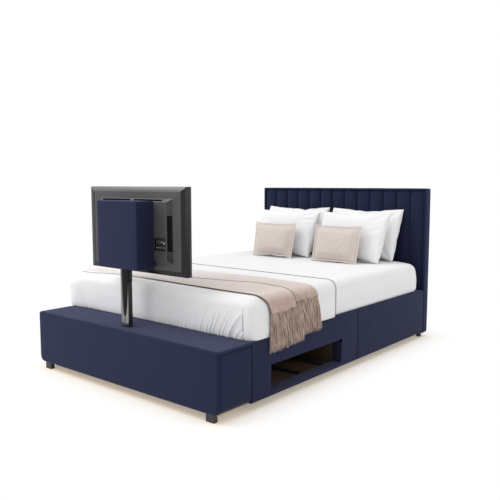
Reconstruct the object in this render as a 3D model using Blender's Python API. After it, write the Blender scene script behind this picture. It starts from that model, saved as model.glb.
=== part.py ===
"""An upholstered double bed with a television on a swivelling column in its footboard.

Metres, +Z up. The foot of the bed is towards -Y and the headboard towards +Y, so a person in the
bed looks along -Y at the screen. The origin is on the floor under the middle of the whole bed.
Every piece is worked out from the named sizes below and from what carries it.
"""

from math import cos, pi, radians, sin

import bmesh
import bpy
from mathutils import Matrix, Vector

# Clearance between pieces that touch
gap = 0.0003
# How far a cutter runs past what it cuts
overrun = 0.01
# How many steps a rounded edge is made in: small, middling and large
small_steps = 2
middle_steps = 3
large_steps = 5
round_steps = 32
# Faces that meet at less than this are shaded as one surface
smooth_angle = radians(40)

# The base is a divan in two halves that meet at a seam
base_width = 1.514
base_length = 2.000
base_front_half = 1.037
base_top = 0.355
base_underside = 0.041
rail_thickness = 0.058
rail_edge = 0.014
rail_end_edge = 0.005
board = 0.018
platform_thickness = 0.018
beam_width = 0.045
beam_depth = 0.090

# The bay for players and remote controls opens through the right-hand rail
bay_front_stile = 0.159
bay_length = 0.689
bay_sill = 0.026
bay_height = 0.143
bay_depth = 0.400
bay_floor_drop = 0.008
bay_board = 0.015
bay_lap = 0.002
batten_width = 0.032
batten_height = 0.010
batten_place_shares = (0.52, 0.86)

# The footboard is a long padded box
footboard_depth = 0.246
footboard_lid = 0.040
footboard_front = 0.016
footboard_end = 0.020
footboard_top_edge = 0.015
footboard_side_edge = 0.012
footboard_low_corner = 0.030

# Feet, and the plates that join the two halves
front_foot_width = 0.055
front_foot_depth = 0.027
front_foot_inset = 0.040
front_foot_setback = 0.013
rear_foot_width = 0.028
rear_foot_depth = 0.026
rear_foot_inset = 0.024
rear_foot_setback = 0.004
middle_foot_radius = 0.024
middle_foot_inset = 0.320
foot_sides = 16
foot_edge = 0.002
clip_width = 0.040
clip_length = 0.120
clip_thickness = 0.003
clip_inset = 0.180

# The headboard is a board with a recess for a pad that is sewn in upright channels
headboard_height = 1.107
headboard_thickness = 0.076
headboard_underside = 0.030
headboard_border = 0.014
headboard_edge = 0.008
headboard_low_corner = 0.020
pad_depth = 0.034
pad_crown = 0.014
pad_top_edge = 0.010
pad_tuck = 0.030
channel_count = 13
channel_steps = 6
channel_round_share = 0.6
pad_shoulder_share = 0.667
pad_shoulder_crown_share = 0.7
channel_smooth_angle = radians(60)

# The television column stands in a socket inside the footboard
column_width = 0.056
column_depth = 0.032
column_setback = 0.068
column_top = 0.700
column_wall = 0.003
column_cap = 0.006
column_edge = 0.004
column_slot_clearance = 0.002
socket_length = 0.160
socket_width = 0.110
socket_plate = 0.006
socket_wall = 0.005
socket_height = 0.090
cover_width = 0.062
cover_thickness = 0.008
cover_lift = 0.003
cover_edge = 0.003
cover_arc_steps = 12
cable_radius = 0.004
cable_tail_length = 0.075
cable_steps = 8
cable_bend = 0.008
grommet_radius = 0.0065
grommet_thickness = 0.005
grommet_sides = 12

# The swivel at the top of the column
spindle_radius = 0.016
spindle_height = 0.108
washer_thickness = 0.003
sleeve_wall = 0.007
sleeve_height = 0.085
swivel_clearance = 0.0003
nut_radius = 0.023
nut_thickness = 0.012
nut_sides = 6

# The television, with its back to the foot of the bed
tv_width = 0.812
tv_height = 0.472
tv_bottom = 0.655
tv_rim_setback = 0.1695
tv_corner = 0.006
tv_corner_steps = 3
tv_lip = 0.010
tv_bezel_depth = 0.015
tv_bezel_frame = 0.014
tv_screen_recess = 0.001
tv_shell = 0.003
tv_bevel_run = 0.045
tv_bevel_rise = 0.027
tv_bevel_depth = 0.007
tv_plate_side = 0.057
tv_plate_top = 0.037
tv_block_run = 0.037
tv_block_rise = 0.017
tv_block_depth = 0.016
connector_bay_left = 0.172
connector_bay_width = 0.086
connector_bay_bottom = 0.786
connector_bay_height = 0.069
connector_bay_depth = 0.010
connector_tray_wall = 0.002
key_radius = 0.004
key_length = 0.0055
key_proud = 0.0025
key_travel = 0.0012
key_clearance = 0.0004
key_steps = 16

# The padded box that hides the swivel and its bracket
box_width = 0.336
box_bottom = 0.686
box_height = 0.365
box_depth = 0.1155
box_wall = 0.008
box_edge = 0.010
box_inner_edge = 0.006
box_front_edge = 0.005
box_edge_steps = 3
box_hole_radius = 0.044
bracket_width = 0.220
bracket_height = 0.220
bracket_plate = 0.004
bracket_lift = 0.010
bracket_arm_width = 0.030
bracket_arm_height = 0.060

# The mattress in its fitted sheet
mattress_side_inset = 0.004
mattress_height = 0.217
mattress_setback = 0.014
mattress_head_space = 0.050
mattress_top_edge = 0.050
mattress_low_edge = 0.040
mattress_foot_corner = 0.055
mattress_head_corner = 0.090
edge_steps = 4
corner_steps = 5
mattress_foot_steps = 6
mattress_side_steps = 6

# The coverlet over the foot half of the mattress
coverlet_thickness = 0.006
coverlet_length = 0.762
gather_depth = 0.007
gather_height = 0.150
gather_count = 10
coverlet_foot_steps = 60

# The knitted throw across the coverlet, with a fringe at each end
throw_thickness = 0.007
throw_setback = 0.078
throw_width = 0.465
throw_lean = 0.075
throw_front_drop = 0.314
throw_rear_drop = 0.260
throw_fold_shares = (0.56, 0.70)
throw_ripple = 0.005
ripple_count = 3
throw_columns = 14
throw_side_steps = 6
throw_top_steps = 10

# Pillows and cushions lean on the headboard, row before row, each as width, height and thickness
pillow_lean = radians(19)
pillow_steps = 11
pillow_pull_share = 0.055
pillow_round_share = 0.42
row_clearance = 0.001
back_pillow_size = (0.615, 0.405, 0.185)
front_pillow_size = (0.575, 0.380, 0.155)
cushion_size = (0.400, 0.282, 0.115)
back_pillow_places = (-0.342, 0.299)
front_pillow_places = (-0.289, 0.309)
cushion_places = (-0.312, 0.263)

# Places that several pieces share
half_width = base_width / 2
foot_y = -(footboard_depth + base_length + headboard_thickness) / 2
base_front = foot_y + footboard_depth
base_rear = base_front + base_length
head_y = base_rear + headboard_thickness
seam_y = base_front + base_front_half
inner_x = half_width - rail_thickness - gap
platform_bottom = base_top - platform_thickness
bay_start = base_front + bay_front_stile
bay_end = bay_start + bay_length
bay_bottom = base_underside + bay_sill
bay_top = bay_bottom + bay_height
bay_floor_top = bay_bottom - bay_floor_drop
lid_bottom = base_top - footboard_lid
column_front = foot_y + column_setback
column_back = column_front + column_depth
column_y = column_front + column_depth / 2
column_floor = base_underside + board + gap
spindle_bottom = column_top + gap
sleeve_bottom = spindle_bottom + washer_thickness + gap
sleeve_top = sleeve_bottom + sleeve_height
sleeve_bore = spindle_radius + swivel_clearance
sleeve_radius = sleeve_bore + sleeve_wall
tv_half = tv_width / 2
tv_top = tv_bottom + tv_height
tv_rim_y = foot_y + tv_rim_setback
tv_plate_y = tv_rim_y - tv_lip - tv_bevel_depth
tv_block_y = tv_plate_y - tv_block_depth
tv_front_y = tv_rim_y + gap + tv_bezel_depth
box_rear = tv_block_y - gap
box_front = box_rear - box_depth
box_top = box_bottom + box_height
mattress_bottom = base_top + gap
mattress_top = mattress_bottom + mattress_height
mattress_foot = base_front + mattress_setback
mattress_head = base_rear - mattress_head_space
mattress_half = half_width - mattress_side_inset
coverlet_reach = gap + coverlet_thickness
throw_reach = coverlet_reach + gap

# Finishes, each as colour, roughness and metallic value
navy_cloth = ((0.036, 0.042, 0.090), 0.85, 0.0)
plywood = ((0.420, 0.290, 0.170), 0.70, 0.0)
brown_board = ((0.070, 0.045, 0.028), 0.65, 0.0)
black_plastic = ((0.020, 0.020, 0.022), 0.45, 0.0)
grey_plastic = ((0.120, 0.115, 0.120), 0.40, 0.0)
dark_glass = ((0.008, 0.008, 0.010), 0.08, 0.0)
black_steel = ((0.020, 0.020, 0.022), 0.30, 0.6)
bright_steel = ((0.620, 0.620, 0.630), 0.25, 1.0)
dark_chrome = ((0.300, 0.300, 0.310), 0.12, 1.0)
bronze = ((0.450, 0.300, 0.140), 0.35, 1.0)
white_cotton = ((0.850, 0.850, 0.870), 0.90, 0.0)
beige_cloth = ((0.560, 0.490, 0.420), 0.90, 0.0)
taupe_wool = ((0.360, 0.280, 0.235), 0.95, 0.0)


def add_material(name, data, look):
    """Give a mesh or a curve a Principled material of its own."""
    colour, roughness, metallic = look
    finish = bpy.data.materials.new(name)
    finish.use_nodes = True
    shader = finish.node_tree.nodes["Principled BSDF"]
    shader.inputs["Base Color"].default_value = (*colour, 1.0)
    shader.inputs["Roughness"].default_value = roughness
    shader.inputs["Metallic"].default_value = metallic
    finish.diffuse_color = (*colour, 1.0)
    data.materials.append(finish)


def add_piece(name, shape, look):
    """Turn a finished bmesh into a named object with its faces pointing out."""
    bmesh.ops.recalc_face_normals(shape, faces=shape.faces)
    if shape.calc_volume(signed=True) < 0:
        bmesh.ops.reverse_faces(shape, faces=shape.faces)
    mesh = bpy.data.meshes.new(name)
    shape.to_mesh(mesh)
    shape.free()
    piece = bpy.data.objects.new(name, mesh)
    bpy.context.scene.collection.objects.link(piece)
    add_material(name, mesh, look)
    return piece


def use_tool(piece, tool, operation):
    """Cut a piece with a tool, or unite the two, and keep the tool as a hidden guide."""
    tool.hide_render = True
    tool.display_type = "WIRE"
    step = piece.modifiers.new(tool.name, "BOOLEAN")
    step.operation = operation
    step.solver = "EXACT"
    step.object = tool


def smooth(piece, angle=smooth_angle):
    """Shade a round piece smooth, with its sharp edges kept."""
    piece.data.shade_smooth()
    piece.data.set_sharp_from_angle(angle=angle)
    return piece


def runs_along(edge, sides, low, high):
    """Say whether an edge of a box lies on both of two sides, such as "-y" and "+z"."""
    for side in sides:
        axis = "xyz".index(side[1])
        limit = high[axis] if side[0] == "+" else low[axis]
        if any(abs(vert.co[axis] - limit) > gap / 2 for vert in edge.verts):
            return False
    return True


def block(name, low, high, look, *rounds):
    """A box between two corners. Each of rounds is a radius, a number of steps and the edges that
    they round, each edge as the two sides that meet there, such as "-y+z"."""
    shape = bmesh.new()
    bmesh.ops.create_cube(shape, size=1)
    for vert in shape.verts:
        vert.co = Vector([high[i] if vert.co[i] > 0 else low[i] for i in range(3)])
    for radius, steps, names in rounds:
        edges = [e for e in shape.edges for n in names if runs_along(e, (n[:2], n[2:]), low, high)]
        bmesh.ops.bevel(shape, geom=edges, offset=radius, segments=steps, profile=0.5, affect="EDGES")
    return add_piece(name, shape, look)


def loft(name, rings, look, closed=False):
    """Skin a row of rings that have the same number of points. A closed row, such as a tube's
    section turned round its axis, has no end faces."""
    shape = bmesh.new()
    rows = [[shape.verts.new(point) for point in ring] for ring in rings]
    pairs = list(zip(rows, rows[1:]))
    if closed:
        pairs.append((rows[-1], rows[0]))
    for first, second in pairs:
        for i in range(len(first)):
            j = (i + 1) % len(first)
            shape.faces.new((first[i], first[j], second[j], second[i]))
    if not closed:
        shape.faces.new(rows[0])
        shape.faces.new(rows[-1])
    return add_piece(name, shape, look)


def circle(x, y, radius, z, steps):
    """A level ring of points round an upright axis."""
    turns = [2 * pi * i / steps for i in range(steps)]
    return [(x + radius * cos(turn), y + radius * sin(turn), z) for turn in turns]


def tube(name, y, inner, outer, low, high, look, steps=round_steps):
    """An upright tube on the middle plane of the bed."""
    corners = ((inner, low), (outer, low), (outer, high), (inner, high))
    rings = [circle(0, y, radius, z, steps) for radius, z in corners]
    return smooth(loft(name, rings, look, closed=True))


def level_rectangle(half_x, low_y, high_y, z):
    """The four corners of a level rectangle on the middle plane."""
    return [(-half_x, low_y, z), (half_x, low_y, z), (half_x, high_y, z), (-half_x, high_y, z)]


def upright_rectangle(half_x, low_z, high_z, y, radius, steps):
    """An upright rectangle across the bed, on the middle plane, with round corners."""
    ring = []
    corners = ((1, high_z, 0), (-1, high_z, 1), (-1, low_z, 2), (1, low_z, 3))
    for side, z, quarter in corners:
        inward = -radius if z == high_z else radius
        for i in range(steps + 1):
            turn = pi / 2 * (quarter + i / steps)
            ring.append((side * (half_x - radius) + radius * cos(turn), y, z + inward + radius * sin(turn)))
    return ring


def make_footboard():
    """The padded box at the foot: front, two ends, lid, rear board and floor board."""
    back = base_front - gap
    block(
        "footboard_front_panel",
        (-half_width, foot_y, base_underside),
        (half_width, foot_y + footboard_front, lid_bottom - gap),
        navy_cloth,
        (footboard_low_corner, large_steps, ("-x-z", "+x-z")),
        (footboard_side_edge, middle_steps, ("-x-y", "+x-y")),
    )
    for name, side in (("left", -1), ("right", 1)):
        ends = sorted((side * half_width, side * (half_width - footboard_end)))
        edge = "+x" if side > 0 else "-x"
        block(
            "footboard_" + name + "_end",
            (ends[0], foot_y + footboard_front + gap, base_underside),
            (ends[1], back, lid_bottom - gap),
            navy_cloth,
            (rail_end_edge, small_steps, (edge + "+y", edge + "-z")),
        )
    lid = block(
        "footboard_lid",
        (-half_width, foot_y, lid_bottom),
        (half_width, back, base_top),
        navy_cloth,
        (footboard_top_edge, middle_steps, ("-y+z", "-x+z", "+x+z")),
        (footboard_side_edge, middle_steps, ("-x-y", "+x-y")),
    )
    slot_x = column_width / 2 + column_slot_clearance
    slot = block(
        "lid_slot_cutter",
        (-slot_x, column_front - column_slot_clearance, lid_bottom - overrun),
        (slot_x, column_back + column_slot_clearance, base_top + overrun),
        plywood,
    )
    use_tool(lid, slot, "DIFFERENCE")
    inner = half_width - footboard_end - gap
    block(
        "footboard_rear_board",
        (-inner, back - board, base_underside),
        (inner, back, lid_bottom - gap),
        plywood,
    )
    block(
        "footboard_floor_board",
        (-inner, foot_y + footboard_front + gap, base_underside),
        (inner, back - board - gap, base_underside + board),
        plywood,
    )


def make_column():
    """The socket on the footboard's floor, the hollow column in it and the cover on its face."""
    floor = column_floor
    rings = []
    wall_x = column_width / 2 + gap
    wall_y = column_depth / 2 + gap
    for half_x, half_y, z in (
        (socket_length / 2, socket_width / 2, floor),
        (socket_length / 2, socket_width / 2, floor + socket_plate),
        (wall_x + socket_wall, wall_y + socket_wall, floor + socket_plate),
        (wall_x + socket_wall, wall_y + socket_wall, floor + socket_height),
        (wall_x, wall_y, floor + socket_height),
        (wall_x, wall_y, floor + socket_plate),
    ):
        rings.append(level_rectangle(half_x, column_y - half_y, column_y + half_y, z))
    loft("column_socket", rings, black_steel)

    bottom = floor + socket_plate + gap
    column = block(
        "column",
        (-column_width / 2, column_front, bottom),
        (column_width / 2, column_back, column_top),
        black_steel,
        (column_edge, small_steps, ("-x-y", "+x-y", "-x+y", "+x+y")),
    )
    bore_x = column_width / 2 - column_wall
    bore = block(
        "column_bore_cutter",
        (-bore_x, column_front + column_wall, bottom - overrun),
        (bore_x, column_back - column_wall, column_top - column_cap),
        black_steel,
    )
    use_tool(column, bore, "DIFFERENCE")

    radius = cover_width / 2
    low = base_top + cover_lift
    middle = low + radius
    back = column_front - gap
    front = back - cover_thickness
    rings = []
    for y, inset in ((back, 0), (front + cover_edge, 0), (front, cover_edge)):
        reach = radius - inset
        ring = [(-reach, y, column_top), (reach, y, column_top)]
        for i in range(cover_arc_steps + 1):
            turn = -pi * i / cover_arc_steps
            ring.append((reach * cos(turn), y, middle + reach * sin(turn)))
        rings.append(ring)
    smooth(loft("column_cover", rings, dark_chrome))


def make_cable():
    """The television's cable comes down beside the column and goes into it by a grommet."""
    side = column_width / 2 + gap
    mouth = side + grommet_thickness
    low = box_bottom - cable_tail_length
    bore = cable_radius + gap
    outline = ((bore, side), (grommet_radius, side), (grommet_radius, mouth), (bore, mouth))
    rings = []
    for radius, x in outline:
        rings.append([(x, column_y + y, low + z) for y, z, _ in circle(0, 0, radius, 0, grommet_sides)])
    smooth(loft("cable_grommet", rings, black_plastic, closed=True))

    curve = bpy.data.curves.new("column_cable", "CURVE")
    curve.dimensions = "3D"
    curve.bevel_depth = cable_radius
    curve.bevel_resolution = 2
    curve.use_fill_caps = True
    x = mouth + gap + cable_bend
    points = [(side, column_y, low), (mouth + gap, column_y, low)]
    for i in range(1, cable_steps + 1):
        turn = pi / 2 * i / cable_steps
        along, up = cable_bend * sin(turn), cable_bend * (1 - cos(turn))
        points.append((mouth + gap + along, column_y, low + up))
    points.append((x, column_y, box_bottom - gap))
    line = curve.splines.new("POLY")
    line.points.add(len(points) - 1)
    for place, point in zip(points, line.points):
        point.co = (*place, 1)
    cable = bpy.data.objects.new("column_cable", curve)
    bpy.context.scene.collection.objects.link(cable)
    add_material("column_cable", curve, black_plastic)


def make_swivel():
    """A spindle on the column's cap, a washer, the sleeve that turns and the nut that keeps it."""
    ends = (spindle_bottom, spindle_bottom + spindle_height)
    rings = [circle(0, column_y, spindle_radius, z, round_steps) for z in ends]
    smooth(loft("swivel_spindle", rings, bright_steel))
    washer_top = spindle_bottom + washer_thickness
    tube("swivel_washer", column_y, sleeve_bore, sleeve_radius, spindle_bottom, washer_top, bronze)
    tube("swivel_sleeve", column_y, sleeve_bore, sleeve_radius, sleeve_bottom, sleeve_top, black_steel)
    nut_bottom = sleeve_top + gap
    nut_top = nut_bottom + nut_thickness
    rings = [circle(0, column_y, nut_radius, z, nut_sides) for z in (nut_bottom, nut_top)]
    nut = loft("swivel_nut", rings, bright_steel)
    ends = (nut_bottom - overrun, nut_top + overrun)
    rings = [circle(0, column_y, sleeve_bore, z, round_steps) for z in ends]
    use_tool(nut, loft("nut_bore_cutter", rings, bright_steel), "DIFFERENCE")


def make_bracket():
    """The plate that the television is screwed to, on an arm from the sleeve."""
    plate_back = box_rear
    plate_front = plate_back - bracket_plate
    low = sleeve_bottom + bracket_lift
    bracket = block(
        "tv_bracket",
        (-bracket_width / 2, plate_front, low),
        (bracket_width / 2, plate_back, low + bracket_height),
        black_steel,
    )
    arm = block(
        "bracket_arm",
        (-bracket_arm_width / 2, column_y + sleeve_radius + gap, low),
        (bracket_arm_width / 2, plate_front + bracket_plate / 2, low + bracket_arm_height),
        black_steel,
    )
    use_tool(bracket, arm, "UNION")


def make_padded_box():
    """An upholstered box, open towards the television, with a round hole for the column."""
    rings = []
    half = box_width / 2
    for inset, y, radius in (
        (box_wall, box_front + box_wall, box_inner_edge),
        (box_wall, box_rear, box_inner_edge),
        (0, box_rear, box_edge),
    ):
        rings.append(
            upright_rectangle(half - inset, box_bottom + inset, box_top - inset, y, radius, box_edge_steps)
        )
    for i in range(box_edge_steps + 1):
        turn = pi / 2 * i / box_edge_steps
        inset = box_front_edge * (1 - cos(turn))
        y = box_front + box_front_edge * (1 - sin(turn))
        rings.append(
            upright_rectangle(
                half - inset, box_bottom + inset, box_top - inset, y, box_edge - inset, box_edge_steps
            )
        )
    cover = loft("tv_box_cover", rings, navy_cloth)
    ends = (box_bottom - overrun, box_bottom + box_wall + overrun)
    rings = [circle(0, column_y, box_hole_radius, z, round_steps) for z in ends]
    use_tool(cover, loft("box_hole_cutter", rings, navy_cloth), "DIFFERENCE")


def tv_ring(side_inset, height_inset, y):
    """A ring of the television's casing, drawn in from its outline."""
    return upright_rectangle(
        tv_half - side_inset, tv_bottom + height_inset, tv_top - height_inset, y, tv_corner, tv_corner_steps
    )


def make_television():
    """The moulded rear cover, the tray of connectors, the front frame, the screen and its key."""
    block_side = tv_bevel_run + tv_plate_side
    block_height = tv_bevel_rise + tv_plate_top
    top_side = block_side + tv_block_run
    top_height = block_height + tv_block_rise
    shell = tv_shell
    rings = [
        tv_ring(top_side + shell, top_height + shell, tv_block_y + shell),
        tv_ring(block_side + shell, block_height + shell, tv_plate_y + shell),
        tv_ring(tv_bevel_run + shell, tv_bevel_rise + shell, tv_plate_y + shell),
        tv_ring(shell, shell, tv_rim_y - tv_lip + shell / 2),
        tv_ring(shell, shell, tv_rim_y),
        tv_ring(0, 0, tv_rim_y),
        tv_ring(0, 0, tv_rim_y - tv_lip),
        tv_ring(tv_bevel_run, tv_bevel_rise, tv_plate_y),
        tv_ring(block_side, block_height, tv_plate_y),
        tv_ring(top_side, top_height, tv_block_y),
    ]
    cover = loft("tv_rear_cover", rings, grey_plastic)
    bay_right = connector_bay_left + connector_bay_width
    bay_high = connector_bay_bottom + connector_bay_height
    window = block(
        "connector_window_cutter",
        (connector_bay_left, tv_block_y - overrun, connector_bay_bottom),
        (bay_right, tv_block_y + shell + gap, bay_high),
        grey_plastic,
    )
    use_tool(cover, window, "DIFFERENCE")
    front = tv_block_y + shell + gap
    wall = connector_tray_wall
    floor = tv_block_y + connector_bay_depth
    rings = []
    for grow, y in ((0, floor), (0, front), (wall, front), (wall, floor + wall)):
        left, right = connector_bay_left - grow, bay_right + grow
        low, high = connector_bay_bottom - grow, bay_high + grow
        rings.append([(left, y, low), (right, y, low), (right, y, high), (left, y, high)])
    loft("tv_connector_tray", rings, black_plastic)

    back = tv_rim_y + gap
    frame = tv_bezel_frame
    rings = [tv_ring(frame, frame, back), tv_ring(0, 0, back), tv_ring(0, 0, tv_front_y)]
    rings.append(tv_ring(frame, frame, tv_front_y))
    bezel = loft("tv_bezel", rings, black_plastic, closed=True)
    key_y = back + tv_bezel_depth / 2
    hole_top = tv_bottom + key_length - key_proud + key_travel + gap
    ends = (tv_bottom - overrun, hole_top)
    rings = [circle(0, key_y, key_radius + key_clearance, z, key_steps) for z in ends]
    use_tool(bezel, loft("key_hole_cutter", rings, black_plastic), "DIFFERENCE")
    ends = (tv_bottom - key_proud, tv_bottom - key_proud + key_length)
    smooth(loft("tv_power_key", [circle(0, key_y, key_radius, z, key_steps) for z in ends], black_plastic))
    rings = [tv_ring(frame + gap, frame + gap, y) for y in (back, tv_front_y - tv_screen_recess)]
    loft("tv_screen", rings, dark_glass)


def make_base():
    """The divan: four padded rails, cross boards, beams and the two platforms."""
    halves = (("front", base_front + gap, seam_y - gap), ("rear", seam_y + gap, base_rear - gap))
    for half, start, end in halves:
        for name, side in (("left", -1), ("right", 1)):
            ends = sorted((side * half_width, side * (half_width - rail_thickness)))
            edge = "+x" if side > 0 else "-x"
            rail = block(
                name + "_" + half + "_rail",
                (ends[0], start, base_underside),
                (ends[1], end, base_top),
                navy_cloth,
                (rail_edge, middle_steps, (edge + "+z",)),
                (rail_end_edge, small_steps, (edge + "-y", edge + "+y", edge + "-z")),
            )
            if (name, half) == ("right", "front"):
                opening = block(
                    "bay_opening_cutter",
                    (inner_x - overrun, bay_start, bay_bottom),
                    (half_width + overrun, bay_end, bay_top),
                    navy_cloth,
                )
                use_tool(rail, opening, "DIFFERENCE")
        for name, y in (("foot", start), ("head", end - board)):
            block(
                half + "_base_" + name + "_board",
                (-inner_x, y, base_underside),
                (inner_x, y + board, platform_bottom - gap),
                plywood,
            )
        block(
            half + "_centre_beam",
            (-beam_width / 2, start + board + gap, platform_bottom - gap - beam_depth),
            (beam_width / 2, end - board - gap, platform_bottom - gap),
            plywood,
        )
        block(
            half + "_platform",
            (-inner_x, start, platform_bottom),
            (inner_x, end, base_top),
            plywood,
        )


def make_bay():
    """The open cupboard behind the rail: a floor with two battens, two ends and a back."""
    outer = inner_x
    inner = inner_x - bay_depth
    near = bay_start - bay_lap
    far = bay_end + bay_lap
    top = platform_bottom - gap
    block(
        "bay_floor",
        (inner, near + gap, bay_floor_top - bay_board),
        (outer, far - gap, bay_floor_top),
        brown_board,
    )
    block("bay_foot_end", (inner, near - bay_board, base_underside), (outer, near, top), brown_board)
    block("bay_head_end", (inner, far, base_underside), (outer, far + bay_board, top), brown_board)
    block(
        "bay_back",
        (inner - gap - bay_board, near - bay_board, base_underside),
        (inner - gap, far + bay_board, top),
        brown_board,
    )
    for number, share in enumerate(batten_place_shares, 1):
        y = bay_start + share * bay_length
        block(
            "bay_batten_" + str(number),
            (inner, y - batten_width / 2, bay_floor_top + gap),
            (outer, y + batten_width / 2, bay_floor_top + gap + batten_height),
            black_plastic,
        )


def make_feet():
    """Two block feet under the footboard, two small ones under the headboard, and two round feet
    and two joining plates under the seam."""
    top = base_underside - gap
    for name, side in (("left", -1), ("right", 1)):
        outer = half_width - front_foot_inset
        ends = sorted((side * outer, side * (outer - front_foot_width)))
        front = foot_y + front_foot_setback
        upright = ("-x-y", "+x-y", "-x+y", "+x+y")
        block(
            "front_" + name + "_foot",
            (ends[0], front, 0),
            (ends[1], front + front_foot_depth, top),
            black_plastic,
            (foot_edge, small_steps, upright),
        )
        outer = half_width - rear_foot_inset
        ends = sorted((side * outer, side * (outer - rear_foot_width)))
        front = base_rear + rear_foot_setback
        block(
            "rear_" + name + "_foot",
            (ends[0], front, 0),
            (ends[1], front + rear_foot_depth, headboard_underside - gap),
            black_plastic,
            (foot_edge, small_steps, upright),
        )
        x = side * (half_width - middle_foot_inset)
        rings = [circle(x, seam_y, middle_foot_radius, z, foot_sides) for z in (0, top)]
        smooth(loft("middle_" + name + "_foot", rings, black_plastic))
        x = side * (half_width - clip_inset)
        block(
            name + "_joining_plate",
            (x - clip_width / 2, seam_y - clip_length / 2, top - clip_thickness),
            (x + clip_width / 2, seam_y + clip_length / 2, top),
            bright_steel,
        )


def make_headboard():
    """The headboard's board and the channelled pad in its recess."""
    front = base_rear + gap
    core = block(
        "headboard_board",
        (-half_width, front, headboard_underside),
        (half_width, head_y, headboard_height),
        navy_cloth,
        (headboard_low_corner, large_steps, ("-x-z", "+x-z")),
        (headboard_edge, middle_steps, ("-x+z", "+x+z", "-y+z", "+y+z")),
    )
    half = half_width - headboard_border
    low = base_top - pad_tuck
    high = headboard_height - headboard_border
    recess = block(
        "pad_recess_cutter",
        (-half, front - overrun, low),
        (half, front + pad_depth, high),
        navy_cloth,
    )
    use_tool(core, recess, "DIFFERENCE")

    half -= gap
    back = front + pad_depth - gap
    pitch = 2 * half / channel_count
    rings = []
    shoulder = high - gap - pad_top_edge
    levels = (
        (low + gap, 1),
        (shoulder, 1),
        (shoulder + pad_top_edge * pad_shoulder_share, pad_shoulder_crown_share),
        (high - gap, 0),
    )
    for z, crown_share in levels:
        ring = [(half, back, z), (-half, back, z)]
        for i in range(channel_count * channel_steps + 1):
            bulge = sin(pi * (i % channel_steps) / channel_steps) ** channel_round_share
            y = front + pad_crown * (1 - bulge * crown_share)
            ring.append((-half + pitch * i / channel_steps, y, z))
        rings.append(ring)
    smooth(loft("headboard_channel_pad", rings, navy_cloth), channel_smooth_angle)


def bed_outline(grow, inset, foot_steps, side_steps):
    """A ring round the mattress seen from above, drawn in by inset. Each point is x, y and the
    direction outwards there. A grown ring lies outside by the same distance all round."""
    half = mattress_half - inset
    foot = mattress_foot + inset
    head = mattress_head - inset
    foot_radius = mattress_foot_corner - inset
    head_radius = mattress_head_corner - inset
    points = []
    corners = (
        (half - foot_radius, foot + foot_radius, foot_radius, -1, side_steps),
        (half - head_radius, head - head_radius, head_radius, 0, foot_steps),
        (-half + head_radius, head - head_radius, head_radius, 1, side_steps),
        (-half + foot_radius, foot + foot_radius, foot_radius, 2, foot_steps),
    )
    for place, (x, y, radius, quarter, steps) in enumerate(corners):
        for i in range(corner_steps + 1):
            turn = pi / 2 * (quarter + i / corner_steps)
            points.append((x + radius * cos(turn), y + radius * sin(turn), cos(turn), sin(turn)))
        next_x, next_y, next_radius, next_quarter, _ = corners[(place + 1) % len(corners)]
        start = points[-1]
        turn = pi / 2 * next_quarter
        end_x = next_x + next_radius * cos(turn)
        end_y = next_y + next_radius * sin(turn)
        for i in range(1, steps):
            share = i / steps
            middle_x = start[0] + (end_x - start[0]) * share
            middle_y = start[1] + (end_y - start[1]) * share
            points.append((middle_x, middle_y, start[2], start[3]))
    return [(x + grow * out_x, y + grow * out_y, out_x, out_y) for x, y, out_x, out_y in points]


def gather(x, z, out_y):
    """How far the coverlet stands out at its foot, in upright gathers that fade upwards."""
    drop = max(0, 1 - (z - mattress_bottom) / gather_height)
    wave = 0.5 - 0.5 * cos(pi * gather_count * x / mattress_half)
    return gather_depth * drop * wave * max(0, -out_y)


def bed_form(name, grow, look, foot_steps=mattress_foot_steps, gathered=False, open_below=False):
    """The mattress's rounded form, or the same form grown by a distance all round. Its underside
    stays level with the mattress's, or runs on down to cut a form open below."""
    levels = []
    low_centre = mattress_bottom + mattress_low_edge
    top_centre = mattress_top - mattress_top_edge
    for i in range(edge_steps + 1):
        turn = pi / 2 * (1 - i / edge_steps)
        inset = mattress_low_edge * (1 - cos(turn))
        z = low_centre - (mattress_low_edge + grow) * sin(turn)
        levels.append((inset, grow * cos(turn), z if open_below else max(z, mattress_bottom)))
    for i in range(edge_steps + 1):
        turn = pi / 2 * i / edge_steps
        inset = mattress_top_edge * (1 - cos(turn))
        levels.append((inset, grow * cos(turn), top_centre + (mattress_top_edge + grow) * sin(turn)))
    if open_below:
        levels.insert(0, (levels[0][0], levels[0][1], mattress_bottom - overrun))
    rings = []
    for inset, reach, z in levels:
        ring = []
        for x, y, out_x, out_y in bed_outline(reach, inset, foot_steps, mattress_side_steps):
            extra = gather(x, z, out_y) if gathered else 0
            ring.append((x + extra * out_x, y + extra * out_y, z))
        rings.append(ring)
    return smooth(loft(name, rings, look))


def make_bedding():
    """The mattress in its sheet, and the coverlet as a shell round its foot half."""
    bed_form("mattress", 0, white_cotton)
    coverlet = bed_form("coverlet", coverlet_reach, white_cotton, coverlet_foot_steps, gathered=True)
    inside = bed_form("coverlet_inside_cutter", gap, white_cotton, coverlet_foot_steps, open_below=True)
    use_tool(coverlet, inside, "DIFFERENCE")
    past = coverlet_reach + overrun
    rest = block(
        "coverlet_end_cutter",
        (-mattress_half - past, mattress_foot + coverlet_length, mattress_bottom - overrun),
        (mattress_half + past, mattress_head + past, mattress_top + past),
        white_cotton,
    )
    use_tool(coverlet, rest, "DIFFERENCE")


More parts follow.
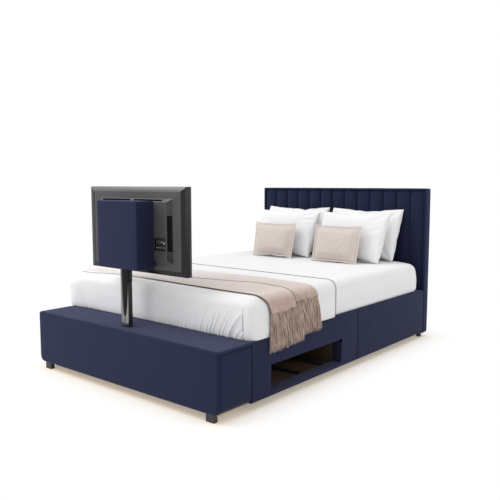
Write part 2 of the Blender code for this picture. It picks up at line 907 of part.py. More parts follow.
def throw_path(reach):
    """The throw's line across the bed, from its left hem over the top to its right hem. Each point
    is x, z, the direction outwards, and how far down the side it is, from 0 to 1 at the hem. It
    hangs clear of the coverlet and of the rails, whichever stands out further."""
    side = max(mattress_half, half_width + gap - throw_reach) + reach
    top = mattress_top + reach
    radius = mattress_top_edge + reach
    half = []
    for i in range(throw_top_steps // 2 + 1):
        half.append(((side - radius) * 2 * i / throw_top_steps, top, 0, 1, 0))
    for i in range(1, edge_steps + 1):
        turn = pi / 2 * i / edge_steps
        x = side - radius + radius * sin(turn)
        half.append((x, top - radius + radius * cos(turn), sin(turn), cos(turn), 0))
    for i in range(1, throw_side_steps + 1):
        half.append((side, top - radius, 1, 0, i / throw_side_steps))
    left = [(-x, z, -out_x, out_z, drop) for x, z, out_x, out_z, drop in half[:0:-1]]
    return left + half


def make_throw():
    """A sheet over the coverlet that hangs down both sides, with two layers at unlike heights."""
    shape = bmesh.new()
    layers = []
    for extra in (0, throw_thickness):
        rows = []
        for x, z, out_x, out_z, drop in throw_path(throw_reach + extra):
            row = []
            for j in range(throw_columns + 1):
                share = j / throw_columns
                start, end = throw_fold_shares
                blend = min(1, max(0, (share - start) / (end - start)))
                fall = throw_front_drop + (throw_rear_drop - throw_front_drop) * blend
                straight = fall - mattress_top_edge - throw_reach
                ripple = throw_ripple * drop * (0.5 - 0.5 * cos(2 * pi * ripple_count * share))
                y = base_front + throw_setback + share * throw_width + throw_lean * drop
                row.append(shape.verts.new((x + out_x * ripple, y, z - straight * drop)))
            rows.append(row)
        layers.append(rows)
    inner, outer = layers
    last_row = len(inner) - 1
    last = throw_columns
    for i in range(last_row):
        for j in range(last):
            for rows in layers:
                shape.faces.new((rows[i][j], rows[i + 1][j], rows[i + 1][j + 1], rows[i][j + 1]))
        for j in (0, last):
            shape.faces.new((inner[i][j], inner[i + 1][j], outer[i + 1][j], outer[i][j]))
    for i in (0, last_row):
        for j in range(last):
            shape.faces.new((inner[i][j], inner[i][j + 1], outer[i][j + 1], outer[i][j]))
    smooth(add_piece("throw", shape, taupe_wool))


def pillow_points(size):
    """The two faces of a pillow that stands upright at the origin. Its sides draw in between the
    corners and its faces swell to the full thickness in the middle."""
    width, height, thickness = size
    places = [sin(pi / 2 * (2 * i / pillow_steps - 1)) for i in range(pillow_steps + 1)]
    faces = []
    for front in (-1, 1):
        rows = []
        for v in places:
            row = []
            for u in places:
                x = width / 2 * u * (1 - pillow_pull_share * (1 - v * v))
                z = height / 2 * v * (1 - pillow_pull_share * (1 - u * u))
                swell = ((1 - u * u) * (1 - v * v)) ** pillow_round_share
                row.append(Vector((x, front * thickness / 2 * swell, z)))
            rows.append(row)
        faces.append(rows)
    return faces


def make_pillow(name, size, x, look, behind):
    """Lean a pillow on the headboard, or on the row behind it, and seat it on the mattress. Gives
    back its middle, which the next row leans on."""
    lean = Matrix.Rotation(-pillow_lean, 3, "X")
    faces = [[[lean @ point for point in row] for row in rows] for rows in pillow_points(size)]
    points = [point for rows in faces for row in rows for point in row]
    seat = mattress_top + gap - min(point.z for point in points)
    if behind is None:
        middle = Vector((x, base_rear - gap - max(point.y for point in points), seat))
    else:
        place, thickness = behind
        middle = place + lean @ Vector((0, -(thickness + size[2]) / 2 - row_clearance, 0))
        upwards = lean @ Vector((0, 0, 1))
        middle += upwards * ((seat - middle.z) / upwards.z)
        middle.x = x
    shape = bmesh.new()
    last = pillow_steps
    corners = []
    for rows in faces:
        corners.append([[shape.verts.new(point + middle) for point in row] for row in rows])
    back, front = corners
    for i in range(last + 1):
        for j in range(last + 1):
            if i in (0, last) or j in (0, last):
                shape.verts.remove(front[i][j])
                front[i][j] = back[i][j]
    for rows in corners:
        for i in range(last):
            for j in range(last):
                shape.faces.new((rows[i][j], rows[i][j + 1], rows[i + 1][j + 1], rows[i + 1][j]))
    smooth(add_piece(name, shape, look), pi)
    return middle, size[2]


def make_pillows():
    """A pair of sleeping pillows, a pair of smaller ones before them and a pair of cushions."""
    for side, name in enumerate(("left", "right")):
        rows = (
            ("back_" + name + "_pillow", back_pillow_size, back_pillow_places[side], white_cotton),
            ("front_" + name + "_pillow", front_pillow_size, front_pillow_places[side], white_cotton),
            (name + "_cushion", cushion_size, cushion_places[side], beige_cloth),
        )
        behind = None
        for row in rows:
            behind = make_pillow(*row, behind)


def build_bed():
    for thing in list(bpy.data.objects):
        bpy.data.objects.remove(thing)
    make_footboard()
    make_column()
    make_cable()
    make_swivel()
    make_bracket()
    make_padded_box()
    make_television()
    make_base()
    make_bay()
    make_feet()
    make_headboard()
    make_bedding()
    make_throw()
    make_pillows()


build_bed()
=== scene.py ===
"""The looks of an upholstered bed with a television in its footboard, made up with bedding.

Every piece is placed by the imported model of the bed. The foot of the bed is towards -Y, the
headboard towards +Y, and the open bay for players is on the +X side.
"""

from contextlib import contextmanager
from math import atan2, cos, exp, pi, radians, sin

import bmesh
import bpy
from mathutils import Matrix, Vector, noise


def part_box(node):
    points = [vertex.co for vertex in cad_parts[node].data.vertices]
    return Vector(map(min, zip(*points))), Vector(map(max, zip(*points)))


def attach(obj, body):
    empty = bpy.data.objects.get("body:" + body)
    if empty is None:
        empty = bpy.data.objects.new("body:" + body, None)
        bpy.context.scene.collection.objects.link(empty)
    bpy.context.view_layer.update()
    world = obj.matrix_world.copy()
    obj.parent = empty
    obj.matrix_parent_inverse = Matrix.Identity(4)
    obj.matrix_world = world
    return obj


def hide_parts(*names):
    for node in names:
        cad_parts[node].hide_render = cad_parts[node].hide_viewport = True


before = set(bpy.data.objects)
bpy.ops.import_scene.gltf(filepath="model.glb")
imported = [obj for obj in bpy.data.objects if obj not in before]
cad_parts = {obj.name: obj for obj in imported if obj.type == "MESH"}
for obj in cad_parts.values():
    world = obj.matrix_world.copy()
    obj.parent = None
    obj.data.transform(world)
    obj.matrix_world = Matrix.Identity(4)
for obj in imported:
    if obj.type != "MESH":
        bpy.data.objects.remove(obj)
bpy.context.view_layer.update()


# The studio: a white floor that runs out of sight, soft lamps high on the left, and a camera that
# stands low off the foot of the bed. None of it is part of the bed.

camera_place = (2.6897, -3.245, 1.1424)
camera_turn = (radians(83.92), 0, radians(39.82))
lens_mm = 44.86
sensor_mm = 36
bpy.ops.object.camera_add(location=camera_place, rotation=camera_turn)
camera = bpy.context.object
camera.name = "studio_camera"
camera.data.lens = lens_mm
camera.data.sensor_width = sensor_mm
bpy.context.scene.camera = camera
bpy.context.scene.view_settings.view_transform = "Standard"


def add_lamp(name, place, aim, size, watts):
    """A large soft lamp turned towards a point."""
    bpy.ops.object.light_add(type="AREA", location=place)
    lamp = bpy.context.object
    lamp.name = name
    lamp.rotation_euler = (Vector(aim) - Vector(place)).to_track_quat("-Z", "Y").to_euler()
    lamp.data.shape = "DISK"
    lamp.data.size = size
    lamp.data.energy = watts


bed_middle = (0, 0, 0.4)
add_lamp("key_lamp", (-3.0, -3.6, 5.0), bed_middle, 4.8, 212)
add_lamp("top_lamp", (0.4, 0.6, 5.5), bed_middle, 4.5, 70)
add_lamp("side_lamp", (5.0, 1.8, 2.6), bed_middle, 2.6, 60)
add_lamp("front_lamp", (0.6, -5.6, 1.5), bed_middle, 3.0, 52)


class Value:
    """One output of a shader node. Python's operators on it add Math nodes."""

    def __init__(self, output):
        self.output = output

    def node(self, kind, settings=None, inputs=None):
        """Add any node to this value's tree. Its settings are set before its inputs."""
        tree = self.output.id_data
        made = tree.nodes.new(kind)
        for name, setting in (settings or {}).items():
            setattr(made, name, setting)
        for name, value in (inputs or {}).items():
            if isinstance(value, Value):
                tree.links.new(value.output, made.inputs[name])
            else:
                made.inputs[name].default_value = value
        return Value(next(out for out in made.outputs if out.enabled))

    def outlet(self, name):
        """Another output of the same node."""
        return Value(self.output.node.outputs[name])

    def maths(self, operation, *values):
        return self.node("ShaderNodeMath", {"operation": operation}, dict(enumerate(values)))

    def sine(self):
        return self.maths("SINE", self)

    def clamped(self):
        return self.node("ShaderNodeClamp", {}, {"Value": self})

    def blend(self, first, second):
        """Mix two colours by this value."""
        colours = {6: first, 7: second}
        for number, colour in colours.items():
            if not isinstance(colour, Value):
                colours[number] = (*colour, 1)
        return self.node("ShaderNodeMix", {"data_type": "RGBA"}, {"Factor": self, **colours})

    def noise(self, scale, detail=2.0, roughness=0.5):
        """Noise that reads this value as its place."""
        inputs = {"Vector": self, "Scale": scale, "Detail": detail, "Roughness": roughness}
        return self.node("ShaderNodeTexNoise", {}, inputs)

    def stretched(self, *scale):
        """This place with its axes scaled, so that a pattern on it is drawn out."""
        return self.node("ShaderNodeMapping", {}, {"Vector": self, "Scale": scale})

    def axes(self):
        """The three numbers of this place."""
        split = self.node("ShaderNodeSeparateXYZ", {}, {"Vector": self})
        return [split.outlet(axis) for axis in "XYZ"]

    def weave(self, pitch):
        """A plain weave that reads this value as its place."""
        x, y, z = [(side * (2 * pi / pitch)).sine() for side in self.axes()]
        return x * y + y * z + z * x

    def __add__(self, other):
        return self.maths("ADD", self, other)

    def __radd__(self, other):
        return self.maths("ADD", other, self)

    def __sub__(self, other):
        return self.maths("SUBTRACT", self, other)

    def __rsub__(self, other):
        return self.maths("SUBTRACT", other, self)

    def __mul__(self, other):
        return self.maths("MULTIPLY", self, other)

    def __rmul__(self, other):
        return self.maths("MULTIPLY", other, self)

    def __pow__(self, other):
        return self.maths("POWER", self, other)


def feed(material, socket, value):
    """Link a value to a socket of a material's Principled shader."""
    shader = material.node_tree.nodes["Principled BSDF"]
    material.node_tree.links.new(value.output, shader.inputs[socket])


def raise_bump(material, height, distance, strength):
    """Feed a height, in units of distance, to a material's normal."""
    inputs = {"Height": height, "Distance": distance, "Strength": strength}
    feed(material, "Normal", height.node("ShaderNodeBump", {}, inputs))


def begin_material(name, colour, patches=None, pores=None, **constants):
    """A new material with its Principled shader's constants set, and its Object coordinates as a
    value to build on. Patches vary its roughness: a noise's scale and detail, its spread and the
    least roughness. Pores raise it: a noise's scale and detail, a distance and a strength."""
    material = bpy.data.materials.new(name)
    material.use_nodes = True
    shader = material.node_tree.nodes["Principled BSDF"]
    shader.inputs["Base Color"].default_value = (*colour, 1)
    for socket, value in constants.items():
        shader.inputs[socket.replace("_", " ")].default_value = value
    place = Value(material.node_tree.nodes.new("ShaderNodeTexCoord").outputs["Object"])
    if patches:
        scale, detail, spread, least = patches
        feed(material, "Roughness", place.noise(scale, detail) * spread + least)
    if pores:
        scale, detail, distance, strength = pores
        raise_bump(material, place.noise(scale, detail), distance, strength)
    return material, place


def seen_directly(value):
    """1 for camera rays and for those that mirrors and glass send on, in this value's tree."""
    rays = value.node("ShaderNodeLightPath")
    kinds = ("Is Camera Ray", "Is Glossy Ray", "Is Transmission Ray")
    straight, mirrored, passed = [rays.outlet(kind) for kind in kinds]
    return straight + mirrored + passed


# The floor glows a little for the rays that see it, is painted cream close to the bed as the warm
# shadow under it, and turns to plain white away from it, which paints over the bed's shadow there.
floor_size = 60
bed_half = (0.76, 1.16, 0)
floor_white = (0.80, 0.80, 0.80)
painted_shadow_cream = (0.78, 0.71, 0.62)
painted_shadow_reach = 0.08
floor_glow = 0.27
floor_warmth = (1.0, 0.90, 0.77, 1)
near_floor = -0.02
far_floor = 0.20
whitening = 0.7
bpy.ops.mesh.primitive_plane_add(size=floor_size)
studio_floor = bpy.context.object
studio_floor.name = "studio_floor"
floor_paint, place = begin_material("studio_floor", floor_white, Roughness=0.9)
studio_floor.data.materials.append(floor_paint)
tree = floor_paint.node_tree
from_bed = place.node("ShaderNodeVectorMath", {"operation": "ABSOLUTE"}, {0: place})
from_bed = from_bed.node("ShaderNodeVectorMath", {"operation": "SUBTRACT"}, {0: from_bed, 1: bed_half})
sides = from_bed.axes()
nearest = sides[0].maths("MAXIMUM", sides[0], sides[1])
# Within the reach of the bed's outline the floor is painted cream: a painted warm shadow.
feed(floor_paint, "Base Color", (nearest * (1 / painted_shadow_reach)).clamped().blend(painted_shadow_cream, floor_white))
seen = seen_directly(place)
paint = Value(tree.nodes["Principled BSDF"].outputs[0])
glow = place.node("ShaderNodeEmission", {}, {"Strength": floor_glow, "Color": floor_warmth})
lit = place.node("ShaderNodeAddShader", {}, {0: paint, 1: glow})
floor_look = place.node("ShaderNodeMixShader", {}, {0: seen, 1: paint, 2: lit})
white_light = place.node("ShaderNodeEmission", {}, {"Strength": 1.0})
far = ((nearest - near_floor) * (1 / (far_floor - near_floor))).clamped() ** whitening * seen
floor_look = place.node("ShaderNodeMixShader", {}, {0: far, 1: floor_look, 2: white_light})
tree.links.new(floor_look.output, tree.nodes["Material Output"].inputs["Surface"])

# The sky lights the bed at this share of the white that camera and mirror rays see.
sky_share = 0.60
world = bpy.data.worlds.new("studio")
bpy.context.scene.world = world
world.use_nodes = True
sky = world.node_tree.nodes["Background"]
sky.inputs["Color"].default_value = (1, 1, 1, 1)
sky_light = seen_directly(Value(sky.outputs[0])) * (1 - sky_share) + sky_share
world.node_tree.links.new(sky_light.output, sky.inputs["Strength"])


# The footboard: a long box of boards under foam and navy cloth. One cloth covers its front and
# rolls over on to the top, and a separate cloth covers each end behind an upright seam.

def new_piece(add, name, middle, scale=(1, 1, 1), turn=(0, 0, 0), **settings):
    """A primitive at its size and place, which are then in its mesh."""
    bpy.ops.object.select_all(action="DESELECT")
    add(location=middle, rotation=turn, **settings)
    piece = bpy.context.object
    piece.name = piece.data.name = name
    piece.scale = scale
    bpy.ops.object.transform_apply(location=True, rotation=True, scale=True)
    return piece


def turned_block(name, middle, size, turn):
    """A box about a middle, turned about it."""
    return new_piece(bpy.ops.mesh.primitive_cube_add, name, middle, size, turn, size=1)


def new_block(name, low, high):
    """A box between two corners."""
    middle = [(a + b) / 2 for a, b in zip(low, high)]
    return turned_block(name, middle, [abs(b - a) for a, b in zip(low, high)], (0, 0, 0))


def choose(piece):
    """Make a piece the only one that operators act on."""
    bpy.ops.object.select_all(action="DESELECT")
    bpy.context.view_layer.objects.active = piece
    piece.select_set(True)


@contextmanager
def editing(piece, kind="FACE", test=None):
    """Edit mode with only the edges or faces that pass a test selected, or all of them."""
    choose(piece)
    bpy.ops.object.mode_set(mode="EDIT")
    bpy.ops.mesh.select_mode(type=kind)
    bpy.ops.mesh.select_all(action="DESELECT" if test else "SELECT")
    if test:
        shape = bmesh.from_edit_mesh(piece.data)
        for item in shape.faces if kind == "FACE" else shape.edges:
            item.select_set(test(item))
        bmesh.update_edit_mesh(piece.data)
    yield
    bpy.ops.object.mode_set(mode="OBJECT")


def draw_out(*way):
    """Extrude what is selected."""
    bpy.ops.mesh.extrude_region_move(TRANSFORM_OT_translate={"value": way})


def on_plane(axis, place):
    """A test for the edges and faces that lie on a plane."""
    index = "xyz".index(axis)
    return lambda item: all(abs(vert.co[index] - place) < 1e-5 for vert in item.verts)


def box_sides(low, high):
    """Tests for a box's left, foot and lower sides, and then for its right, head and upper ones."""
    return [on_plane(axis, corner[i]) for corner in (low, high) for i, axis in enumerate("xyz")]


def sharper(degrees):
    """A test for the edges that are sharper than an angle."""
    return lambda edge: edge.calc_face_angle(0) > radians(degrees)


def round_edges(piece, radius, steps, *corners):
    """Round the edges that pass all tests of any corner."""
    def wanted(edge):
        return any(all(test(edge) for test in tests) for tests in corners)

    with editing(piece, "EDGE", wanted):
        bpy.ops.mesh.bevel(offset=radius, segments=steps, affect="EDGES")


def reach_of(piece):
    """The lowest and the highest corner of a piece."""
    places = [vert.co for vert in piece.data.vertices]
    return [Vector([pick(place[i] for place in places) for i in range(3)]) for pick in (min, max)]


def slice_up(piece, **spacings):
    """Cut a piece through at an even spacing along each axis, so that it can be shaped there."""
    for axis, spacing in spacings.items():
        index = "xyz".index(axis)
        low, high = [corner[index] for corner in reach_of(piece)]
        count = max(1, round((high - low) / spacing))
        normal = Vector([float(index == i) for i in range(3)])
        with editing(piece):
            for i in range(1, count):
                bpy.ops.mesh.select_all(action="SELECT")
                bpy.ops.mesh.bisect(plane_co=normal * (low + (high - low) * i / count), plane_no=normal)


def apply_modifier(piece, kind, **settings):
    """Add a modifier with some settings and apply it."""
    choose(piece)
    step = piece.modifiers.new(kind.lower(), kind)
    for name, value in settings.items():
        setattr(step, name, value)
    bpy.ops.object.modifier_apply(modifier=step.name)


def cut_away(piece, cutter):
    """Cut a piece with another object, which is then deleted."""
    apply_modifier(piece, "BOOLEAN", operation="DIFFERENCE", solver="EXACT", object=cutter)
    bpy.data.objects.remove(cutter)


def smooth_shade(piece, degrees=40):
    """Shade a piece smooth except over its sharp edges."""
    choose(piece)
    bpy.ops.object.shade_smooth_by_angle(angle=radians(degrees))


def fill_out(piece, crown, ripple=0.0008, grain=8.0):
    """Swell a block's faces between its edges, as foam does under stretched cloth, and let the
    cloth lie a little unevenly."""
    low, high = reach_of(piece)
    middle, half = (low + high) / 2, (high - low) / 2
    for vert in piece.data.vertices:
        share = [(vert.co[i] - middle[i]) / half[i] for i in range(3)]
        flat = [max(0, 1 - share[i] ** 6) for i in range(3)]
        across = [flat[i - 2] * flat[i - 1] for i in range(3)]
        push = Vector([crown[i] * share[i] * across[i] for i in range(3)])
        lift = ripple * noise.noise(vert.co * grain) * max(across)
        vert.co += push + vert.normal * lift


def dress(piece, material):
    """Give a piece its only material."""
    piece.data.materials.clear()
    piece.data.materials.append(material)


def finish_piece(piece, body, material, slot, *nodes, fill=None):
    """Give a piece its material, let it ride on a body and stand for its nodes, which are hidden.
    Its slot and its fill are not used."""
    dress(piece, material)
    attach(piece, body)
    if nodes:
        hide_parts(*nodes)


def dress_nodes(material, *names):
    """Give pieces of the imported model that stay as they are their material."""
    for name in names:
        dress(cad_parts[name], material)


navy_blue = (0.0140, 0.0198, 0.049)
navy_violet = (0.0172, 0.0198, 0.054)
navy_shade = (0.007, 0.010, 0.026)
navy_sheen = (0.58, 0.60, 0.90, 1)
thread_pitch = 0.0030
navy_cloth, place = begin_material(
    "navy_cloth", navy_blue, Roughness=0.9, Sheen_Weight=0.22, Sheen_Roughness=0.42,
    Sheen_Tint=navy_sheen, Specular_IOR_Level=0.12,
)
tint = place.noise(2.6).blend(navy_blue, navy_violet)
weave = place.weave(thread_pitch)
slubs = place.noise(240.0, 3.0)
yarn = ((slubs - 0.5) * 1.4 + weave * 0.08 + 0.78).clamped()
feed(navy_cloth, "Base Color", yarn.blend(navy_shade, tint))
raise_bump(navy_cloth, weave * 0.3 + slubs, 0.0005, 0.7)

roll_radius = 0.014
low_corner = 0.038
seam_radius = 0.006
seam_gap = 0.0036
board_fill = 0.95
slot_clearance = 0.002
overrun = 0.01
front_low, front_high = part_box("footboard_front_panel")
lid_low, lid_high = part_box("footboard_lid")
column_low, column_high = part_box("column")
fold_y = front_low.y + roll_radius
fold_z = lid_high.z - roll_radius
wrap = new_block("footboard_wrap", front_low, (front_high.x, fold_y, lid_high.z))
with editing(wrap):
    bpy.ops.mesh.bisect(plane_co=(0, 0, fold_z), plane_no=(0, 0, 1))
behind = on_plane("y", fold_y)
with editing(wrap, "FACE", lambda face: behind(face) and face.calc_center_median().z > fold_z):
    draw_out(0, lid_high.y - front_low.y - roll_radius, 0)
left, front, under, right, back, top = box_sides(front_low, lid_high)
round_edges(wrap, low_corner, 6, (left, under), (right, under))
round_edges(wrap, roll_radius * 0.96, 5, (left, top), (right, top), (front, sharper(30)))
slice_up(wrap, x=0.024, y=0.030, z=0.022)
fill_out(wrap, (0.001, 0.003, 0.002))
cutter = new_block(
    "slot_cutter",
    (column_low.x - slot_clearance, column_low.y - slot_clearance, lid_low.z),
    (column_high.x + slot_clearance, column_high.y + slot_clearance, lid_high.z + 2 * overrun),
)
cut_away(wrap, cutter)
smooth_shade(wrap)
finish_piece(
    wrap, "bed", navy_cloth, "navy_cloth", "footboard_front_panel", "footboard_lid", fill=board_fill,
)


def round_low_edge(piece, half, low, radius, steps=7):
    """Round the outer lower edge of a panel that is thinner than the rounding."""
    for i in range(steps):
        level = low + radius * (1 - cos(pi / 2 * i / steps))
        with editing(piece):
            bpy.ops.mesh.bisect(plane_co=(0, 0, level), plane_no=(0, 0, 1))
    for vert in piece.data.vertices:
        off = Vector((abs(vert.co.x) - half + radius, vert.co.z - low - radius))
        if off.x > 0 > off.y and off.length > radius:
            off *= radius / off.length
            vert.co.x = (half - radius + off.x) * (1 if vert.co.x > 0 else -1)
            vert.co.z = low + radius + off.y


end_inset = 0.0008
for side, name in ((-1, "left"), (1, "right")):
    node = "footboard_" + name + "_end"
    end_low, end_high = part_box(node)
    outer, inner = (end_low.x, end_high.x) if side < 0 else (end_high.x, end_low.x)
    outer -= side * end_inset
    low = (min(outer, inner), fold_y + seam_gap, end_low.z)
    high = (max(outer, inner), end_high.y, fold_z - seam_gap)
    end = new_block(node + "_cloth", low, high)
    left, front, under, right, back, top = box_sides(low, high)
    face = left if side < 0 else right
    round_edges(end, seam_radius, 4, *[(face, edge) for edge in (front, back, under, top)])
    slice_up(end, y=0.024, z=0.024, x=0.006)
    fill_out(end, (0.002, 0, 0))
    round_low_edge(end, abs(outer), end_low.z, low_corner)
    smooth_shade(end)
    finish_piece(end, "bed", navy_cloth, "navy_cloth", node, fill=board_fill)


# The boards inside the footboard and the divan: birch plywood with its edges left bare, screwed
# and glued together. They show only from below.

ply_pale = (0.50, 0.36, 0.22)
ply_dark = (0.36, 0.24, 0.13)
plywood, place = begin_material("plywood", ply_pale, Roughness=0.7)
grain = place.stretched(3.0, 40.0, 40.0).noise(3.0, 6.0, 0.6)
feed(plywood, "Base Color", grain.blend(ply_pale, ply_dark))
raise_bump(plywood, grain, 0.0006, 0.5)
dress_nodes(
    plywood,
    "footboard_rear_board", "footboard_floor_board",
    "front_base_foot_board", "front_base_head_board", "rear_base_foot_board", "rear_base_head_board",
    "front_centre_beam", "rear_centre_beam",
)
dress_nodes(navy_cloth, "front_platform", "rear_platform")


# The column: a black powder-coated post in a socket, with a polished black cover on its face, a
# rubber grommet, and the television's cable that goes into it.

def half_round_cover(name, low, high):
    """A domed strip on the front of the post, round at its lower end and open to the top."""
    radius = (high.x - low.x) / 2
    depth = high.y - low.y
    middle = Vector(((low.x + high.x) / 2, high.y, low.z + radius))
    sphere = bpy.ops.mesh.primitive_uv_sphere_add
    size = (radius, depth, radius)
    piece = new_piece(sphere, name, middle, size, segments=56, ring_count=28, radius=1)
    for cut in ((0, 1, 0), (0, 0, 1)):
        with editing(piece):
            bpy.ops.mesh.bisect(plane_co=middle, plane_no=cut, clear_outer=True, use_fill=True)
    with editing(piece, "FACE", on_plane("z", middle.z)):
        draw_out(0, 0, high.z - middle.z)
    return piece


cover_low, cover_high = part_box("column_cover")
cover_black = (0.003, 0.003, 0.004)
reflection_rim_steel = (0.25, 0.25, 0.255)
inlay_tip = 0.062
inlay_rise = 0.23
inlay_half = 0.0225
inlay_shift = 0.0095
inlay_curve = 0.36
inlay_edge = 1 / 250
# The cover is black inside a metallic steel rim that narrows the black towards its round lower end. The
# rim is real metal, and its U shape is a painted reflection of the bed in the curved cover.
dark_chrome, place = begin_material(
    "dark_chrome", cover_black, patches=(24.0, 4.0, 0.12, 0.32), Specular_IOR_Level=0.15,
)
across, behind, up = place.axes()
inlay = ((up - (cover_low.z + inlay_tip)) * (1 / inlay_rise)).clamped() ** inlay_curve * inlay_half
off_middle = across - inlay_shift
steel_reflection_rim = ((off_middle.maths("ABSOLUTE", off_middle) - inlay) * (1 / inlay_edge)).clamped()
feed(dark_chrome, "Base Color", steel_reflection_rim.blend(cover_black, reflection_rim_steel))
feed(dark_chrome, "Metallic", steel_reflection_rim * 0.9)
cover = half_round_cover("column_cover_dome", cover_low, cover_high)
smooth_shade(cover, 35)
finish_piece(cover, "bed", dark_chrome, "dark_chrome", "column_cover")

black_coat, place = begin_material(
    "black_powder_coat", (0.012, 0.012, 0.013), (18.0, 3.0, 0.16, 0.26), (420.0, 2.0, 0.0002, 0.5),
    IOR=1.45,
)
dress_nodes(black_coat, "column", "column_socket", "swivel_sleeve", "tv_bracket")
black_rubber, place = begin_material(
    "black_rubber", (0.014, 0.014, 0.015), pores=(600.0, 2.0, 0.0002, 0.4), Roughness=0.62,
)
dress_nodes(black_rubber, "cable_grommet", "column_cable")
zinc, place = begin_material("zinc_plate", (0.60, 0.60, 0.62), (90.0, 4.0, 0.25, 0.16), Metallic=1.0)
dress_nodes(zinc, "swivel_spindle", "swivel_nut", "left_joining_plate", "right_joining_plate")
bronze, place = begin_material(
    "bearing_bronze", (0.45, 0.30, 0.14), (120.0, 3.0, 0.2, 0.25), Metallic=1.0,
)
dress_nodes(bronze, "swivel_washer")


# The divan's rails: boards padded with thin foam and covered in the same navy cloth, in two halves
# that meet at a seam on each side. The right-hand front rail has the opening of the bay.

mouth_inset = 0.0017
mouth_length = 0.689
mouth_round = 0.003
mouth_low = (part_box("bay_floor")[0].y + mouth_inset, 0.067)
mouth_high = (mouth_low[0] + mouth_length, 0.210)
for side, name in ((-1, "left"), (1, "right")):
    for half in ("front", "rear"):
        node = name + "_" + half + "_rail"
        low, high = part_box(node)
        low.y, high.y = low.y + seam_gap / 2, high.y - seam_gap / 2
        rail = new_block(node + "_cloth", low, high)
        left, foot, under, right, head, top = box_sides(low, high)
        outer, inner = (left, right) if side < 0 else (right, left)
        round_edges(rail, roll_radius, 5, (outer, top))
        round_edges(rail, seam_radius, 3, (outer, foot), (outer, head), (outer, under), (inner, under))
        slice_up(rail, y=0.026, z=0.024, x=0.020)
        if node == "right_front_rail":
            mouth = (low.x - overrun, *mouth_low), (high.x + overrun, *mouth_high)
            cut_away(rail, new_block("bay_cutter", *mouth))
            left, foot, under, right, head, top = box_sides(*mouth)
            round_edges(rail, mouth_round, 2, *[(outer, edge) for edge in (foot, under, head, top)])
        fill_out(rail, (0.0025, 0, 0.001))
        smooth_shade(rail)
        finish_piece(rail, "bed", navy_cloth, "navy_cloth", node, fill=board_fill)


# The bay for players in the right-hand side of the front half: dark brown boards with two battens
# that a player stands on.

brown_dark = (0.058, 0.033, 0.022)
brown_light = (0.120, 0.072, 0.047)
brown_board, place = begin_material("brown_board", brown_dark)
grain = place.stretched(60.0, 4.0, 60.0).noise(2.0, 8.0, 0.65)
feed(brown_board, "Base Color", grain.blend(brown_dark, brown_light))
feed(brown_board, "Roughness", grain * 0.25 + 0.32)
raise_bump(brown_board, grain, 0.0004, 0.4)
dress_nodes(brown_board, "bay_floor", "bay_foot_end", "bay_head_end", "bay_back")

moulded_black, place = begin_material(
    "moulded_black", (0.014, 0.014, 0.015), (30.0, 3.0, 0.15, 0.36), (900.0, 2.0, 0.00015, 0.5),
)
dress_nodes(moulded_black, "bay_batten_1", "bay_batten_2")


# The feet: two wide blocks under the footboard, two round ones under the seam and two small ones
# under the headboard, all black and screwed on from below.

foot_dark = (0.009, 0.009, 0.010)
foot_worn = (0.028, 0.028, 0.030)
foot_black, place = begin_material("foot_black", foot_dark)
scuffs = place.noise(55.0, 6.0, 0.7)
feed(foot_black, "Base Color", (scuffs * 1.6 - 0.5).clamped().blend(foot_dark, foot_worn))
feed(foot_black, "Roughness", scuffs * 0.3 + 0.25)
for end in ("front", "middle", "rear"):
    dress_nodes(foot_black, end + "_left_foot", end + "_right_foot")


# The television's rear cover: moulded grey plastic in three steps, a rim, a plate and a block, with
# vents in the slopes round the block, a bay for connectors, and screws round the plate.

def step_back(piece, depth, side, height):
    """Draw the rearmost face further back, narrower by a side and a height at each edge."""
    faces = [face for face in piece.data.polygons if face.normal.y < -0.99]
    rear_face = max(faces, key=lambda face: face.area)
    rim = [piece.data.vertices[number].co for number in rear_face.vertices]
    width, tall = [max(spot[i] for spot in rim) - min(spot[i] for spot in rim) for i in (0, 2)]
    area = rear_face.area * 0.999
    with editing(piece, "FACE", lambda face: face.normal.y < -0.99 and face.calc_area() > area):
        draw_out(0, -depth, 0)
        bpy.ops.transform.resize(value=(1 - 2 * side / width, 1, 1 - 2 * height / tall))


def join_pieces(name, pieces):
    """Make one object of several."""
    choose(pieces[0])
    for piece in pieces:
        piece.select_set(True)
    bpy.ops.object.join()
    pieces[0].name = pieces[0].data.name = name
    return pieces[0]


def new_rod(name, middle, radius, length, corners, turn=(pi / 2, 0, 0)):
    """A round rod about a middle, which runs along Y unless it is turned another way."""
    rod = bpy.ops.mesh.primitive_cylinder_add
    return new_piece(rod, name, middle, turn=turn, vertices=corners, radius=radius, depth=length)


grey_dark = (0.044, 0.041, 0.045)
grey_light = (0.060, 0.056, 0.061)
tv_grey, place = begin_material(
    "tv_grey_plastic", grey_dark, (40.0, 4.0, 0.14, 0.36), (700.0, 2.0, 0.00012, 0.5),
    Specular_IOR_Level=0.35,
)
feed(tv_grey, "Base Color", place.noise(6.0, 3.0).blend(grey_dark, grey_light))

lip = 0.010
bevel_run, bevel_rise, bevel_depth = 0.045, 0.027, 0.007
plate_side, plate_top = 0.057, 0.037
slope_run, slope_rise, slope_depth = 0.037, 0.017, 0.016
rim_corner = 0.006
step_round = 0.0014
shell_low, shell_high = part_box("tv_rear_cover")
lip_low = (shell_low.x, shell_high.y - lip, shell_low.z)
shell = new_block("tv_rear_shell", lip_low, shell_high)
left, front, under, right, back, top = box_sides(lip_low, shell_high)
round_edges(shell, rim_corner, 3, (left, under), (left, top), (right, under), (right, top))
step_back(shell, bevel_depth, bevel_run, bevel_rise)
step_back(shell, 0, plate_side, plate_top)
step_back(shell, slope_depth, slope_run, slope_rise)
round_edges(shell, step_round, 2, [sharper(18)])

